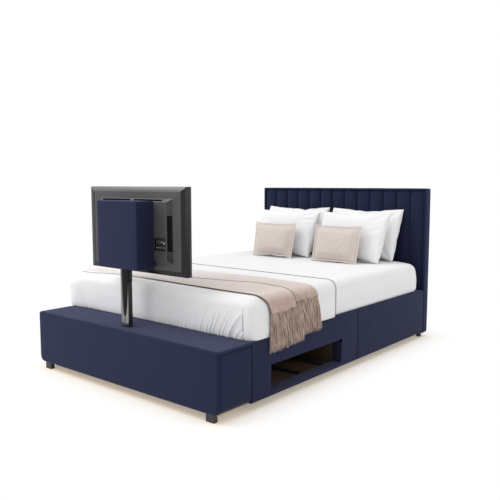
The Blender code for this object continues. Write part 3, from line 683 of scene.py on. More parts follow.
block_side = bevel_run + plate_side
slope_middle_y = shell_low.y + slope_depth / 2
top_slope_z = shell_high.z - bevel_rise - plate_top - slope_rise / 2
side_slope_x = shell_high.x - block_side - slope_run / 2
vent_depth = 0.010
vent_width = 0.012
fin_pitch = 0.008
fin_thickness = 0.0016
fin_sink = 0.0022
top_turn = (radians(-45), 0, 0)
fins = []
for start, end in ((-0.276, -0.032), (0.001, 0.231)):
    middle = ((start + end) / 2, slope_middle_y, top_slope_z)
    cut_away(shell, turned_block("vent_cutter", middle, (end - start, vent_depth, vent_width), top_turn))
    for i in range(1, round((end - start) / fin_pitch)):
        spot = (start + i * fin_pitch, slope_middle_y + fin_sink, top_slope_z - fin_sink)
        fins.append(turned_block("fin", spot, (fin_thickness, vent_depth * 0.55, vent_width), top_turn))
side_vent_low = 0.785
side_vent_high = 0.975
side_vent_width = 0.030
side_fins = 12
side_turn = (0, 0, atan2(slope_depth, slope_run))
inward = Vector((-sin(side_turn[2]), cos(side_turn[2]), 0))
middle = Vector((side_slope_x, slope_middle_y, (side_vent_low + side_vent_high) / 2))
tall = side_vent_high - side_vent_low
size = (side_vent_width, 2 * vent_depth, tall)
cut_away(shell, turned_block("side_vent_cutter", middle, size, side_turn))
for i in range(1, side_fins):
    spot = middle + inward * vent_depth * 0.8
    spot.z = side_vent_low + tall * i / side_fins
    fins.append(turned_block("fin", spot, (side_vent_width, vent_depth * 0.4, fin_thickness), side_turn))
backing = (side_vent_width * 0.99, vent_depth * 0.3, tall * 0.995)
fins.append(turned_block("backing", middle + inward * vent_depth * 0.84, backing, side_turn))

tray_low, tray_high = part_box("tv_connector_tray")
window_edge = 0.002
window_low = (tray_low.x + window_edge, shell_low.y - overrun, tray_low.z + window_edge)
window_high = (tray_high.x - window_edge, tray_high.y, tray_high.z - window_edge)
cut_away(shell, new_block("window_cutter", window_low, window_high))
smooth_shade(shell, 30)
finish_piece(shell, "tv_head", tv_grey, "grey_plastic", "tv_rear_cover")
# The rim round the plate is a darker gloss plastic, and so is the right slope of the block, where the
# darker plastic is painted shade on the side away from the lamps. The top bevel is a lighter grey: a
# painted highlight where the light falls from overhead.
dark_frame_and_shade, place = begin_material(
    "dark_frame_and_shade_plastic", (0.012, 0.010, 0.011), (16.0, 4.0, 0.12, 0.16), Specular_IOR_Level=0.20,
)
shell.data.materials.append(dark_frame_and_shade)
painted_highlight_grey, place = begin_material("painted_highlight_grey_plastic", (0.104, 0.099, 0.104), (16.0, 4.0, 0.12, 0.24))
shell.data.materials.append(painted_highlight_grey)
plate_half = shell_high.x - bevel_run
plate_low = shell_low.z + bevel_rise
plate_high = shell_high.z - bevel_rise
# Material 1 is the dark frame and the painted shade, material 2 the painted highlight on top.
for face in shell.data.polygons:
    spot = face.center
    outside = abs(spot.x) > plate_half or not plate_low < spot.z < plate_high
    shaded_right_slope = face.normal.x > 0.3 and shell_low.y + 0.001 < spot.y < shell_low.y + slope_depth
    lit_top_faces = spot.z > plate_high and spot.x < plate_half
    face.material_index = 2 if lit_top_faces else int(outside or shaded_right_slope)
vent_black, place = begin_material(
    "vent_black", (0.004, 0.004, 0.004), pores=(900.0, 2.0, 0.00015, 0.5), Roughness=0.8,
    Specular_IOR_Level=0.1,
)
vent_fins = join_pieces("tv_vent_fins", fins)
finish_piece(vent_fins, "tv_head", vent_black, "black_plastic")

screw_radius = 0.0034
screw_height = 0.002
cross_sizes = ((0.0042, 0.002, 0.0009), (0.0009, 0.002, 0.0042))
cross_rise = 0.0012
plate_y = shell_low.y + slope_depth
screws = []
for x in (-0.334, 0.334):
    for z in (0.720, 0.890, 1.060):
        screw = new_rod("screw", (x, plate_y, z), screw_radius, screw_height, 16)
        for size in cross_sizes:
            cut_away(screw, turned_block("cross_cutter", (x, plate_y - cross_rise, z), size, (0, 0, 0)))
        screws.append(screw)
dark_zinc, place = begin_material("dark_zinc", (0.09, 0.09, 0.095), (400.0, 3.0, 0.3, 0.2), Metallic=1.0)
tv_screws = join_pieces("tv_screws", screws)
finish_piece(tv_screws, "tv_head", dark_zinc, "bright_steel")


# The connector bay: a black panel sunk into the block, with flat sockets in a row and round ones
# below, each in a bright metal shell.

def sink_face(piece, rim, depth):
    """Sink the face of a socket that looks towards the foot of the bed, and leave a rim."""
    with editing(piece, "FACE", on_plane("y", reach_of(piece)[0].y)):
        bpy.ops.mesh.inset(thickness=rim)
        draw_out(0, depth, 0)


panel_thickness = 0.0015
panel_y = tray_high.y - panel_thickness
panel = new_block("tv_connector_panel", (tray_low.x, panel_y, tray_low.z), tray_high)
round_edges(panel, 0.0003, 1, [sharper(30)])
finish_piece(panel, "tv_head", moulded_black, "black_plastic", "tv_connector_tray")

socket_depth = 0.0065
flat_rim = 0.0008
round_rim = 0.0014
round_radius = 0.0048
upright_half = 0.00275
flat_sockets = [(x - upright_half, 0.826, x + upright_half, 0.842) for x in (0.186, 0.198, 0.210)]
flat_sockets += [(0.219, 0.829, 0.233, 0.836), (0.238, 0.822, 0.251, 0.834)]
shells = []
for low_x, low_z, high_x, high_z in flat_sockets:
    socket = new_block("socket", (low_x, panel_y - socket_depth, low_z), (high_x, panel_y, high_z))
    sink_face(socket, flat_rim, socket_depth * 0.8)
    shells.append(socket)
for x in (0.186, 0.201, 0.216, 0.240):
    socket = new_rod("socket", (x, panel_y - socket_depth / 2, 0.803), round_radius, socket_depth, 24)
    sink_face(socket, round_rim, socket_depth * 0.7)
    shells.append(socket)
bright_shell, place = begin_material(
    "bright_shell", (0.62, 0.62, 0.60), (500.0, 3.0, 0.25, 0.12), Metallic=1.0,
)
connectors = join_pieces("tv_connectors", shells)
smooth_shade(connectors, 30)
finish_piece(connectors, "tv_head", bright_shell, "bright_steel")


# The screen side: a thin black frame, the dark glass of the panel, and the power key under it.

dress_nodes(moulded_black, "tv_bezel", "tv_power_key")
panel_glass, place = begin_material(
    "panel_glass", (0.006, 0.006, 0.008), (12.0, 4.0, 0.05, 0.03), IOR=1.5, Coat_Weight=0.4,
)
dress_nodes(panel_glass, "tv_screen")


# The upholstered box behind the television: thin boards under foam and navy cloth, open towards
# the television, with a hole below for the column. It hides the bracket and the swivel.

box_low, box_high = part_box("tv_box_cover")
box_wall = 0.008
box_round = 0.007
column_hole = 0.044
tv_box = new_block("tv_box_padding", box_low, box_high)
left, front, under, right, back, top = box_sides(box_low, box_high)
corners = [(side, level) for side in (left, right) for level in (under, top)]
round_edges(tv_box, box_round, 5, *corners, *[(front, rim) for rim in (left, right, under, top)])
slice_up(tv_box, x=0.016, y=0.016, z=0.016)
fill_out(tv_box, (0.0025, 0.004, 0.0015), 0.0012, 11.0)
cavity_low = (box_low.x + box_wall, box_low.y + box_wall, box_low.z + box_wall)
cavity_high = (box_high.x - box_wall, box_high.y + overrun, box_high.z - box_wall)
cut_away(tv_box, new_block("cavity_cutter", cavity_low, cavity_high))
hole_middle = (0, (column_low.y + column_high.y) / 2, box_low.z + box_wall / 2)
cut_away(tv_box, new_rod("hole_cutter", hole_middle, column_hole, 3 * box_wall, 64, (0, 0, 0)))
smooth_shade(tv_box)
finish_piece(tv_box, "tv_head", navy_cloth, "navy_cloth", "tv_box_cover", fill=0.9)


# The headboard: a padded board in navy cloth that frames a pad sewn in thirteen upright channels.

board_low, board_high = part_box("headboard_board")
pad_low, pad_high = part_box("headboard_channel_pad")
board_round = 0.010
front_round = 0.005
pad_clearance = 0.0004
board_cloth = new_block("headboard_cloth", board_low, board_high)
left, front, under, right, back, top = box_sides(board_low, board_high)
rims = (left, right, under, top)
corners = [(side, level) for side in (left, right) for level in (under, top)]
round_edges(board_cloth, front_round, 3, *[(front, rim) for rim in rims])
round_edges(board_cloth, board_round, 4, *corners, *[(back, rim) for rim in rims])
slice_up(board_cloth, x=0.040, y=0.020, z=0.030)
fill_out(board_cloth, (0.002, 0.003, 0.001))
recess_low = (pad_low.x - pad_clearance, board_low.y - 2 * overrun, pad_low.z - pad_clearance)
recess_high = [side + pad_clearance for side in pad_high]
cut_away(board_cloth, new_block("recess_cutter", recess_low, recess_high))
smooth_shade(board_cloth)
finish_piece(board_cloth, "bed", navy_cloth, "navy_cloth", "headboard_board", fill=board_fill)


def piece_of(name, shape):
    """An object in the scene made of a finished form."""
    mesh = bpy.data.meshes.new(name)
    shape.to_mesh(mesh)
    shape.free()
    piece = bpy.data.objects.new(name, mesh)
    bpy.context.scene.collection.objects.link(piece)
    return piece


def closed_pad(name, columns, rows, *faces):
    """A closed form of two grids, given as functions of two shares, whose edges are joined. Where
    the edges meet they are sewn to each other."""
    shape = bmesh.new()
    skins = []
    for face in faces:
        grid = [[face(i / columns, j / rows) for j in range(rows + 1)] for i in range(columns + 1)]
        skins.append([[shape.verts.new(point) for point in line] for line in grid])
    for number, skin in enumerate(skins):
        for i in range(columns):
            for j in range(rows):
                corners = [skin[i][j], skin[i + 1][j], skin[i + 1][j + 1], skin[i][j + 1]]
                shape.faces.new(corners if number == 0 else corners[::-1])
    loop = [(i, 0) for i in range(columns)] + [(columns, j) for j in range(rows)]
    loop += [(columns - i, rows) for i in range(columns)] + [(0, rows - j) for j in range(rows)]
    for (a, b), (c, d) in zip(loop, loop[1:] + loop[:1]):
        shape.faces.new([skins[0][a][b], skins[1][a][b], skins[1][c][d], skins[0][c][d]])
    bmesh.ops.remove_doubles(shape, verts=shape.verts, dist=1e-5)
    bmesh.ops.recalc_face_normals(shape, faces=shape.faces)
    if shape.calc_volume(signed=True) < 0:
        bmesh.ops.reverse_faces(shape, faces=shape.faces)
    piece = piece_of(name, shape)
    smooth_shade(piece, 60)
    return piece


channels = 13
channel_crown = 0.023
channel_top_round = 0.030
face_inset = 0.0006
groove_pucker = 0.0008
pucker_pitch = 0.022
arch_curve = 0.55
pad_ripple = 0.0010
pad_width = pad_high.x - pad_low.x
pad_height = pad_high.z - pad_low.z


def channel_front(across, up):
    """The padded face: each channel is a half round between two stitched grooves, and it turns
    back under the frame at its top."""
    share = across * channels
    along = 2 * (share - int(min(share, channels - 1))) - 1
    arch = max(0, 1 - along * along) ** arch_curve
    z = pad_low.z + pad_height * up
    to_top = (pad_high.z - z) / channel_top_round
    turn = 1 if to_top >= 1 else max(0, 1 - (1 - to_top) ** 2) ** 0.5
    place = Vector((pad_low.x + pad_width * across, 0, z))
    pucker = groove_pucker * (1 - arch) * sin(2 * pi * z / pucker_pitch + 7 * across)
    soft = pad_ripple * noise.noise(place * 9.0) * arch
    place.y = pad_low.y + face_inset + channel_crown * (1 - arch * turn) - pucker - soft
    place.y = max(pad_low.y, place.y)
    return place


def channel_back(across, up):
    """The pad's flat back."""
    return Vector((pad_low.x + pad_width * across, pad_high.y, pad_low.z + pad_height * up))


channel_pad = closed_pad("headboard_channels", channels * 16, 110, channel_front, channel_back)
finish_piece(channel_pad, "bed", navy_cloth, "navy_cloth", "headboard_channel_pad", fill=0.85)


# The mattress, in a white fitted sheet that is drawn under it and gathered at its corners.

def rounded_outline(half, foot, head, foot_corner, head_corner, spacing, foot_stops=()):
    """Places round a rounded rectangle with their outward directions and their way along it, from
    the middle of the head's edge down the left side, along the foot and up the right side."""
    stops = [Vector((0, head, 0))]
    for side, edge, radius, start in (
        (-1, head, head_corner, pi / 2), (-1, foot, foot_corner, pi),
        (1, foot, foot_corner, 3 * pi / 2), (1, head, head_corner, 0),
    ):
        centre = Vector((side * (half - radius), edge + (radius if edge == foot else -radius), 0))
        if (side, edge) == (1, foot):
            stops += [Vector((x, foot, 0)) for x in foot_stops]
        for i in range(13):
            turn = start + pi / 2 * i / 12
            stops.append(centre + radius * Vector((cos(turn), sin(turn), 0)))
    stops.append(Vector((0, head, 0)))
    places = []
    way = 0.0
    for first, second in zip(stops, stops[1:]):
        run = second - first
        if run.length < 1e-6:
            continue
        steps = max(1, round(run.length / spacing))
        places += [(first + run * i / steps, way + run.length * i / steps) for i in range(steps)]
        way += run.length
    rows = []
    for number, (place, along) in enumerate(places):
        forward = (places[(number + 1) % len(places)][0] - places[number - 1][0]).normalized()
        rows.append((place, Vector((forward.y, -forward.x, 0)), along))
    return rows, way


def ring_skin(name, rings, open_rings=False):
    """A skin over rings of as many points each. The last ring is filled, and so is the first one
    unless the rings are open."""
    shape = bmesh.new()
    rows = [[shape.verts.new(point) for point in ring] for ring in rings]
    count = len(rows[0])
    for low, high in zip(rows, rows[1:]):
        for i in range(count - 1 if open_rings else count):
            shape.faces.new([low[i], low[(i + 1) % count], high[(i + 1) % count], high[i]])
    shape.faces.new(rows[-1])
    if not open_rings:
        shape.faces.new(rows[0][::-1])
    bmesh.ops.recalc_face_normals(shape, faces=shape.faces)
    return piece_of(name, shape)


crease_shade_white = (0.76, 0.76, 0.775)
white_high = (0.80, 0.80, 0.80)
cotton_pitch = 0.0011
cotton, place = begin_material(
    "white_cotton", white_high, Roughness=0.9, Sheen_Weight=0.1, Specular_IOR_Level=0.2,
)
creases = place.noise(7.0, 5.0, 0.55)
threads = place.weave(cotton_pitch)
# The cotton is painted a little darker and bluer where the crease noise lowers it: painted shade in the
# hollows of its creases.
feed(cotton, "Base Color", creases.blend(crease_shade_white, white_high))
raise_bump(cotton, creases + threads * 0.01, 0.005, 0.35)

mattress_low, mattress_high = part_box("mattress")
half_mattress = mattress_high.x
top_edge = 0.050
low_edge = 0.040
foot_corner = 0.055
head_corner = 0.090
side_bulge = 0.005
gather_pitch = 0.027
gather_reach = 0.16
corner_sag = 0.016
sag_reach = 0.17
gather_depth = 0.0026
sheet_ripple = 0.0014
sheet_outline, whole_way = rounded_outline(
    half_mattress, mattress_low.y, mattress_high.y, foot_corner, head_corner, 0.013,
)
corner_ways = [half_mattress - head_corner + head_corner * pi / 4]
side_way = mattress_high.y - mattress_low.y - foot_corner - head_corner
corner_ways.append(half_mattress - head_corner + head_corner * pi / 2 + side_way + foot_corner * pi / 4)
corner_ways += [whole_way - corner_ways[1], whole_way - corner_ways[0]]

side_low = mattress_low.z + low_edge
side_high = mattress_high.z - top_edge
sheet_rows = []
for i in range(7):
    turn = i * pi / 12
    sheet_rows.append((low_edge * (1 - sin(turn)), mattress_low.z + low_edge * (1 - cos(turn)), 0))
for i in range(1, 9):
    sheet_rows.append((-side_bulge * sin(pi * i / 9), side_low + (side_high - side_low) * i / 9, 0))


def rows_over_top(steps, *shrinks):
    """Rows of a cloth over the mattress's upper edge and on in towards its middle."""
    turns = [pi / 2 * i / steps for i in range(steps + 1)]
    rows = [(top_edge * (1 - cos(turn)), side_high + top_edge * sin(turn), 0) for turn in turns]
    return rows + [(top_edge, mattress_high.z, shrink) for shrink in shrinks]


sheet_rows += rows_over_top(8, 0.04, 0.1, 0.18, 0.3, 0.45, 0.6, 0.8)
middle = (mattress_low + mattress_high) / 2
rings = []
for inset, level, shrink in sheet_rows:
    share_up = (level - mattress_low.z) / (mattress_high.z - mattress_low.z)
    ring = []
    for spot, outward, way in sheet_outline:
        near = sum(max(0, 1 - abs(way - corner) / gather_reach) ** 2 for corner in corner_ways)
        wave = sin(2 * pi * way / gather_pitch + 3 * share_up)
        pull = gather_depth * near * (1 - 0.8 * share_up) * wave
        place = spot - outward * (inset - pull)
        place += (Vector((middle.x, middle.y, 0)) - place) * shrink
        soft = sheet_ripple * noise.noise(Vector((place.x, place.y, level)) * 4.0)
        place += outward * soft * (shrink == 0)
        off_corner = Vector((place.x - half_mattress, place.y - mattress_high.y)).length
        pressed = exp(-(off_corner / sag_reach) ** 2) * share_up
        place -= outward * corner_sag * pressed
        place.z = level + soft * share_up - corner_sag * pressed
        ring.append(place)
    rings.append(ring)
for point in rings[0]:
    point.z = mattress_low.z
mattress_sheet = ring_skin("mattress_in_sheet", rings)
smooth_shade(mattress_sheet, 60)
finish_piece(mattress_sheet, "bed", cotton, "white_cotton", "mattress", fill=0.95)


# The coverlet over the foot half: white cotton with a dark piping round its hem, pulled down at
# the foot so that it gathers towards its split corner on the right. It is only laid on.

coverlet_low, coverlet_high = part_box("coverlet")
cloth_lift = 0.0055
cloth_thickness = 0.0030
tuck = 0.006
tuck_height = 0.040
slit_x = 0.694
slit_top = 0.515
slit_step = 0.0024
slit_fade = 0.020
corner_puff = 0.021
corner_fill_top = 0.57
corner_fade = 0.07
puff_reach = 0.09
least_rise = 0.0035
cloth_ripple = 0.0034
ripple_grain = 3.4
ripple_from = 0.05
lean = 0.33
fan = 0.40
fan_reach = 0.10
folds = (
    (0.012, 0.0080, 0.0035, 0.040), (0.026, 0.0110, 0.0045, 0.060), (0.040, 0.0080, 0.0035, 0.045),
    (0.056, 0.0105, 0.0050, 0.065), (0.104, 0.0110, 0.0090, 0.180), (0.128, 0.0050, 0.0050, 0.090),
    (0.148, 0.0075, 0.0060, 0.125), (0.172, 0.0090, 0.0070, 0.150), (0.193, 0.0055, 0.0045, 0.100),
    (0.214, 0.0085, 0.0065, 0.150), (0.238, 0.0110, 0.0070, 0.165), (0.262, 0.0105, 0.0065, 0.140),
    (0.284, 0.0080, 0.0055, 0.110), (0.306, 0.0085, 0.0060, 0.175), (0.338, 0.0050, 0.0060, 0.080),
    (0.362, 0.0060, 0.0060, 0.100), (0.392, 0.0045, 0.0055, 0.070), (0.425, 0.0060, 0.0065, 0.110),
    (0.455, 0.0055, 0.0060, 0.120), (0.505, 0.0035, 0.0070, 0.080), (0.560, 0.0045, 0.0070, 0.115),
    (0.585, 0.0035, 0.0060, 0.090), (0.640, 0.0030, 0.0080, 0.090),
)
fold_share = 1.10
left_share = 0.40


def smooth_step(value):
    """A share that starts and ends level."""
    value = max(0, min(1, value))
    return value * value * (3 - 2 * value)


def tuck_in(height):
    """How far the cloth is drawn in towards its hem."""
    return tuck * max(0, 1 - height / tuck_height) ** 2


def fold_rise(x, height):
    """How far the cloth stands out at the foot: folds that lean towards the split corner as they
    rise, and fan out from its top."""
    from_slit = slit_x - abs(x)
    if from_slit < -0.001:
        return 0.0
    traced = from_slit + height * (lean + fan * exp(-from_slit / fan_reach))
    rise = 0.0
    for place, depth, width, reach in folds:
        fade = max(0, 1 - height / reach)
        rise += depth * fade ** 0.7 * exp(-(abs(traced - place) / width) ** 1.4)
    return rise * (fold_share if x > 0 else left_share)


cover_outline, whole_way = rounded_outline(
    half_mattress, mattress_low.y, coverlet_high.y, foot_corner, 0, 0.0042,
    (slit_x - 0.001, slit_x + 0.001),
)
cover_outline = [
    row for row in cover_outline
    if abs(row[0].x) > half_mattress - 1e-6 or row[0].y < coverlet_high.y - 1e-6
]
hem_lift = 0.0004
cover_drop = side_high - coverlet_low.z
cover_rows = [(0, coverlet_low.z + hem_lift + cover_drop * i / 30, 0) for i in range(30)]
cover_rows += rows_over_top(10, 0.02, 0.05, 0.09, 0.14, 0.2, 0.3, 0.45, 0.65)
hem_middle = Vector((0, coverlet_high.y, 0))
rings = []
for inset, level, shrink in cover_rows:
    height = level - coverlet_low.z
    ring = []
    for spot, outward, way in cover_outline:
        if abs(spot.x) > half_mattress - 1e-6:
            outward = Vector((1 if spot.x > 0 else -1, 0, 0))
        rise = cloth_lift - tuck_in(height)
        if abs(spot.y - mattress_low.y) < 1e-5:
            rise += fold_rise(spot.x, height)
            if spot.x < slit_x:
                near_slit = exp(-(slit_x - spot.x) / slit_fade)
                rise -= slit_step * near_slit * smooth_step((slit_top - level) / slit_fade)
        rise = max(rise, least_rise - tuck_in(height))
        low_share = smooth_step((corner_fill_top - level) / corner_fade)
        if outward.x < -0.01 and outward.y < -0.01:
            square = foot_corner * (1 / max(-outward.x, -outward.y) - 1)
            rise += square * low_share
        from_corner = Vector((spot.x + half_mattress, spot.y - mattress_low.y)).length
        rise += corner_puff * exp(-(from_corner / puff_reach) ** 2) * low_share
        up_share = min(1, max(0, (level - side_high) / top_edge))
        out_share = (1 - up_share ** 2) ** 0.5
        ripple = noise.noise(Vector((spot.x, spot.y, level)) * ripple_grain)
        soft = cloth_ripple * ripple * smooth_step(height / ripple_from)
        place = spot - outward * inset + outward * (rise + soft) * out_share
        place.x *= 1 - shrink
        place.y += (hem_middle.y - place.y) * shrink
        place.z = level + (cloth_lift + soft * 0.5) * up_share
        ring.append(place)
    rings.append(ring)
coverlet = ring_skin("coverlet_cloth", rings, open_rings=True)
smooth_shade(coverlet, 75)
apply_modifier(coverlet, "SOLIDIFY", thickness=cloth_thickness, offset=-1)
finish_piece(coverlet, "bed", cotton, "white_cotton", "coverlet")


def tube_along(name, points, radius, sides=4):
    """A cord through points, as a mesh with closed ends."""
    line = bpy.data.curves.new(name, "CURVE")
    line.dimensions = "3D"
    line.bevel_depth = radius
    line.bevel_resolution = sides
    line.use_fill_caps = True
    spline = line.splines.new("POLY")
    spline.points.add(len(points) - 1)
    for spot, point in zip(spline.points, points):
        spot.co = (*point, 1)
    piece = bpy.data.objects.new(name, line)
    bpy.context.scene.collection.objects.link(piece)
    choose(piece)
    bpy.ops.object.convert(target="MESH")
    piece.name = piece.data.name = name
    smooth_shade(piece, 60)
    return piece


flat_way = half_mattress - top_edge
arc_way = (top_edge + cloth_lift) * pi / 2


def over_edge(reach, lift):
    """The place across the bed of a point of a cloth that lies over the coverlet, and how far it
    hangs: reach is its way from the middle of the bed, over the mattress's edge and down."""
    radius = top_edge + lift
    past = max(0, abs(reach) - flat_way)
    turn = min(past / radius, pi / 2)
    drop = max(0, past - radius * pi / 2)
    side = 1 if reach > 0 else -1
    x = side * (min(abs(reach), flat_way) + radius * sin(turn))
    return x, side_high + radius * cos(turn) - drop, drop


piping_dark = (0.035, 0.030, 0.028)
piping_light = (0.085, 0.075, 0.070)
piping_radius = 0.0016
piping_cloth, place = begin_material("piping_cloth", piping_dark, Roughness=0.85, Sheen_Weight=0.2)
twist = place.noise(500.0, 2.0)
feed(piping_cloth, "Base Color", twist.blend(piping_dark, piping_light))
raise_bump(piping_cloth, twist, 0.0005, 0.6)

hem_end = 0.004
hem_steps = 240
slit_steps = 24
full_reach = flat_way + arc_way + side_high - coverlet_low.z - hem_end
hem = []
for i in range(hem_steps + 1):
    x, z, drop = over_edge(full_reach * (2 * i / hem_steps - 1), cloth_lift + 0.0010)
    hem.append((x, coverlet_high.y, z))
hem_piping = tube_along("coverlet_hem_piping", hem, piping_radius)
finish_piece(hem_piping, "bed", piping_cloth, "taupe_wool")
line = []
for i in range(slit_steps + 1):
    level = coverlet_low.z + 0.003 + (slit_top - coverlet_low.z) * i / slit_steps
    out = cloth_lift - tuck_in(level - coverlet_low.z)
    line.append((slit_x, mattress_low.y - out - 0.0008, level))
slit_piping = tube_along("coverlet_slit_piping", line, piping_radius)
finish_piece(slit_piping, "bed", piping_cloth, "taupe_wool")


# The throw: a knitted taupe blanket laid over the coverlet and folded on itself, so that a smooth
# front layer lies over a rumpled rear one. Both end in a fringe that hangs past the mattress.

# The wool is taupe on the sides; its top, over the mattress's edge, is painted a paler beige, and a
# paler cream towards the left: painted light where the lamps fall on it from overhead and the left.
taupe_light = (0.660, 0.480, 0.410)
taupe_dark = (0.330, 0.230, 0.190)
lit_top_light = (0.840, 0.730, 0.660)
lit_top_dark = (0.640, 0.540, 0.480)
lit_left_light = (0.950, 0.905, 0.895)
lit_left_dark = (0.900, 0.850, 0.840)
lit_top_from = 0.540
lit_top_to = 0.590
lit_left_from = 0.58
lit_left_run = 0.62
taupe_fuzz = (1.0, 0.93, 0.91, 1)
wool_look = dict(Roughness=0.95, Sheen_Roughness=0.4, Sheen_Tint=taupe_fuzz, Specular_IOR_Level=0.15)
wool, place = begin_material("taupe_wool", taupe_light, Sheen_Weight=1.0, **wool_look)
cloth_map = place.outlet("UV")
across, along, unused = cloth_map.axes()
stitch_pitch = 0.0052
stitch_row = 0.0040
stitches = (across * (2 * pi / stitch_pitch)).sine() * (along * (2 * pi / stitch_row)).sine()
flecks = cloth_map.stretched(30.0, 260.0, 1.0).noise(1.0, 4.0, 0.6)
shadow = (stitches * 0.14 + flecks * 1.3 - 0.15).clamped()
rightwards, unused, up = place.axes()
lit_top_share = ((up - lit_top_from) * (1 / (lit_top_to - lit_top_from))).clamped()
lit_left_share = ((lit_left_from - rightwards) * (1 / lit_left_run)).clamped()
painted_light_top = shadow.blend(lit_left_share.blend(lit_top_dark, lit_left_dark), lit_left_share.blend(lit_top_light, lit_left_light))
feed(wool, "Base Color", lit_top_share.blend(shadow.blend(taupe_dark, taupe_light), painted_light_top))
raise_bump(wool, stitches * 0.5 + flecks, 0.0012, 0.75)


def cloth_grid(name, columns, rows, place, size):
    """A cloth from a function of two shares, with its map in metres."""
    shape = bmesh.new()
    cloth = shape.loops.layers.uv.new("cloth")
    grid = [[place(i / columns, j / rows) for j in range(rows + 1)] for i in range(columns + 1)]
    verts = [[shape.verts.new(point) for point in line] for line in grid]
    for i in range(columns):
        for j in range(rows):
            spots = ((i, j), (i + 1, j), (i + 1, j + 1), (i, j + 1))
            face = shape.faces.new([verts[a][b] for a, b in spots])
            for loop, (a, b) in zip(face.loops, spots):
                loop[cloth].uv = (a / columns * size[0], b / rows * size[1])
    return piece_of(name, shape)


# Of each layer: its front and rear edges along the bed on top, at its hem and at its fringe's tips,
# how high hem and tips hang, how its edges sweep over the bed (which edge, how far, from where and
# over what run), and how its rear edge bulges (how far, where and how wide).
layers = {
    "front": dict(
        top=(-0.837, -0.598), hem=(-0.775, -0.558), tips=(-0.774, -0.474), hem_z=0.456, tip_z=0.272,
        sweeps=((0, 0.024, 0.55, 0.9), (0, -0.050, -0.46, 0.12), (1, -0.085, 0.52, 0.55)),
        bulge=(0.030, 0.53, 0.12),
    ),
    "rear": dict(
        top=(-0.660, -0.372), hem=(-0.592, -0.338), tips=(-0.520, -0.295), hem_z=0.497, tip_z=0.316,
        sweeps=((0, -0.120, 0.45, 0.5),), bulge=(0.030, 0.30, 0.22),
    ),
}
under_gap = 0.0008
front_thickness = 0.0060
rear_thickness = 0.0042
side_stand = 0.0045
sweep_fade = 0.1
over_rear = 0.0062
edge_roll, edge_band = 0.0022, 0.06
layer_ripple, layer_rise = 0.0022, 0.0008
side_wave = 0.004
rumple = 0.0075


def layer_place(layer, across, share):
    """Where a point of a layer lies along the bed, with its reach over the bed and its way past
    the flat top. Share runs from the layer's front edge to its rear."""
    shape = layers[layer]
    reach = (flat_way + arc_way + side_high - shape["hem_z"]) * (2 * across - 1)
    past = max(0, abs(reach) - flat_way)
    drop_share = smooth_step(past / (arc_way + side_high - shape["hem_z"]))
    edges = [top + (hem - top) * drop_share for top, hem in zip(shape["top"], shape["hem"])]
    inwards = max(0, 1 - past / sweep_fade)
    for edge, amount, spot, run in shape["sweeps"]:
        edges[edge] += amount * smooth_step((spot - reach) / run) * inwards
    amount, spot, width = shape["bulge"]
    edges[1] += amount * exp(-((reach - spot) / width) ** 2) * inwards
    return edges[0] + (edges[1] - edges[0]) * share, reach, past


def wrinkle(reach, share, seed):
    """Long soft folds that run across the bed and wander."""
    wander = 0.10 * noise.noise(Vector((reach * 3.1, share * 1.3, seed)))
    wave = 0.5 + 0.5 * sin(2 * pi * (share * 3.4 + wander * 6 + seed))
    small = noise.noise(Vector((reach * 5.0, share * 9.0, seed + 4)))
    return wave ** 2 * 0.7 + small * 0.3


def front_place(across, share):
    """A point of the smooth front layer."""
    y, reach, past = layer_place("front", across, share)
    rear_edge = smooth_step((share - 0.62) / 0.2)
    roll = edge_roll * smooth_step((edge_band - share) / edge_band)
    lift = cloth_lift + under_gap + front_thickness + over_rear * rear_edge + roll
    lift += layer_ripple * noise.noise(Vector((reach * 2.6, share * 2.2, 1.0))) + layer_rise
    lift += side_stand * smooth_step(past / arc_way)
    x, z, drop = over_edge(reach, lift)
    side = 1 if reach > 0 else -1
    x += side * side_wave * sin(2 * pi * share * 2.2 + 0.6) * smooth_step(drop / 0.05)
    return Vector((x, y, z))


def rear_place(across, share):
    """A point of the rumpled rear layer."""
    y, reach, past = layer_place("rear", across, share)
    edge = smooth_step(share / 0.10) * smooth_step((1 - share) / 0.06)
    rise = rumple * wrinkle(reach, share, 2.0) * edge * smooth_step((share - 0.12) / 0.2)
    lift = cloth_lift + under_gap + rear_thickness + max(0, rise)
    lift += side_stand * 0.6 * smooth_step(past / arc_way)
    x, z, drop = over_edge(reach, lift)
    return Vector((x, y, z))


top_length = 2 * (flat_way + arc_way)
throw_layers = {}
for layer, place_of, thickness, rows in (
    ("front", front_place, front_thickness, 44), ("rear", rear_place, rear_thickness, 60),
):
    shape = layers[layer]
    width = shape["top"][1] - shape["top"][0]
    length = top_length + 2 * (side_high - shape["hem_z"])
    cloth = cloth_grid("throw_" + layer + "_layer", 300, rows, place_of, (length, width))
    with editing(cloth):
        bpy.ops.mesh.normals_make_consistent(inside=False)
    up = cloth.data.polygons[len(cloth.data.polygons) // 2].normal.z
    if up < 0:
        with editing(cloth):
            bpy.ops.mesh.flip_normals()
    apply_modifier(cloth, "SOLIDIFY", thickness=thickness, offset=-1)
    round_edges(cloth, thickness * 0.42, 3, [sharper(55)])
    smooth_shade(cloth, 70)
    finish_piece(cloth, "bed", wool, "taupe_wool", *(["throw"] if layer == "front" else []))
    throw_layers[layer] = (cloth, length, width)


def strand_ring(centre, along, radius, turn):
    """Four points round a strand."""
    side = along.cross(Vector((1, 0, 0))).normalized()
    other = along.cross(side).normalized()
    turns = [turn + i * pi / 2 for i in range(4)]
    return [centre + radius * (cos(angle) * side + sin(angle) * other) for angle in turns]


def wobble(number, seed):
    """An even spread of values from -1 to 1 that looks random and never changes."""
    return 2 * ((sin(number * 12.9898 + seed * 78.233) * 43758.5453) % 1) - 1


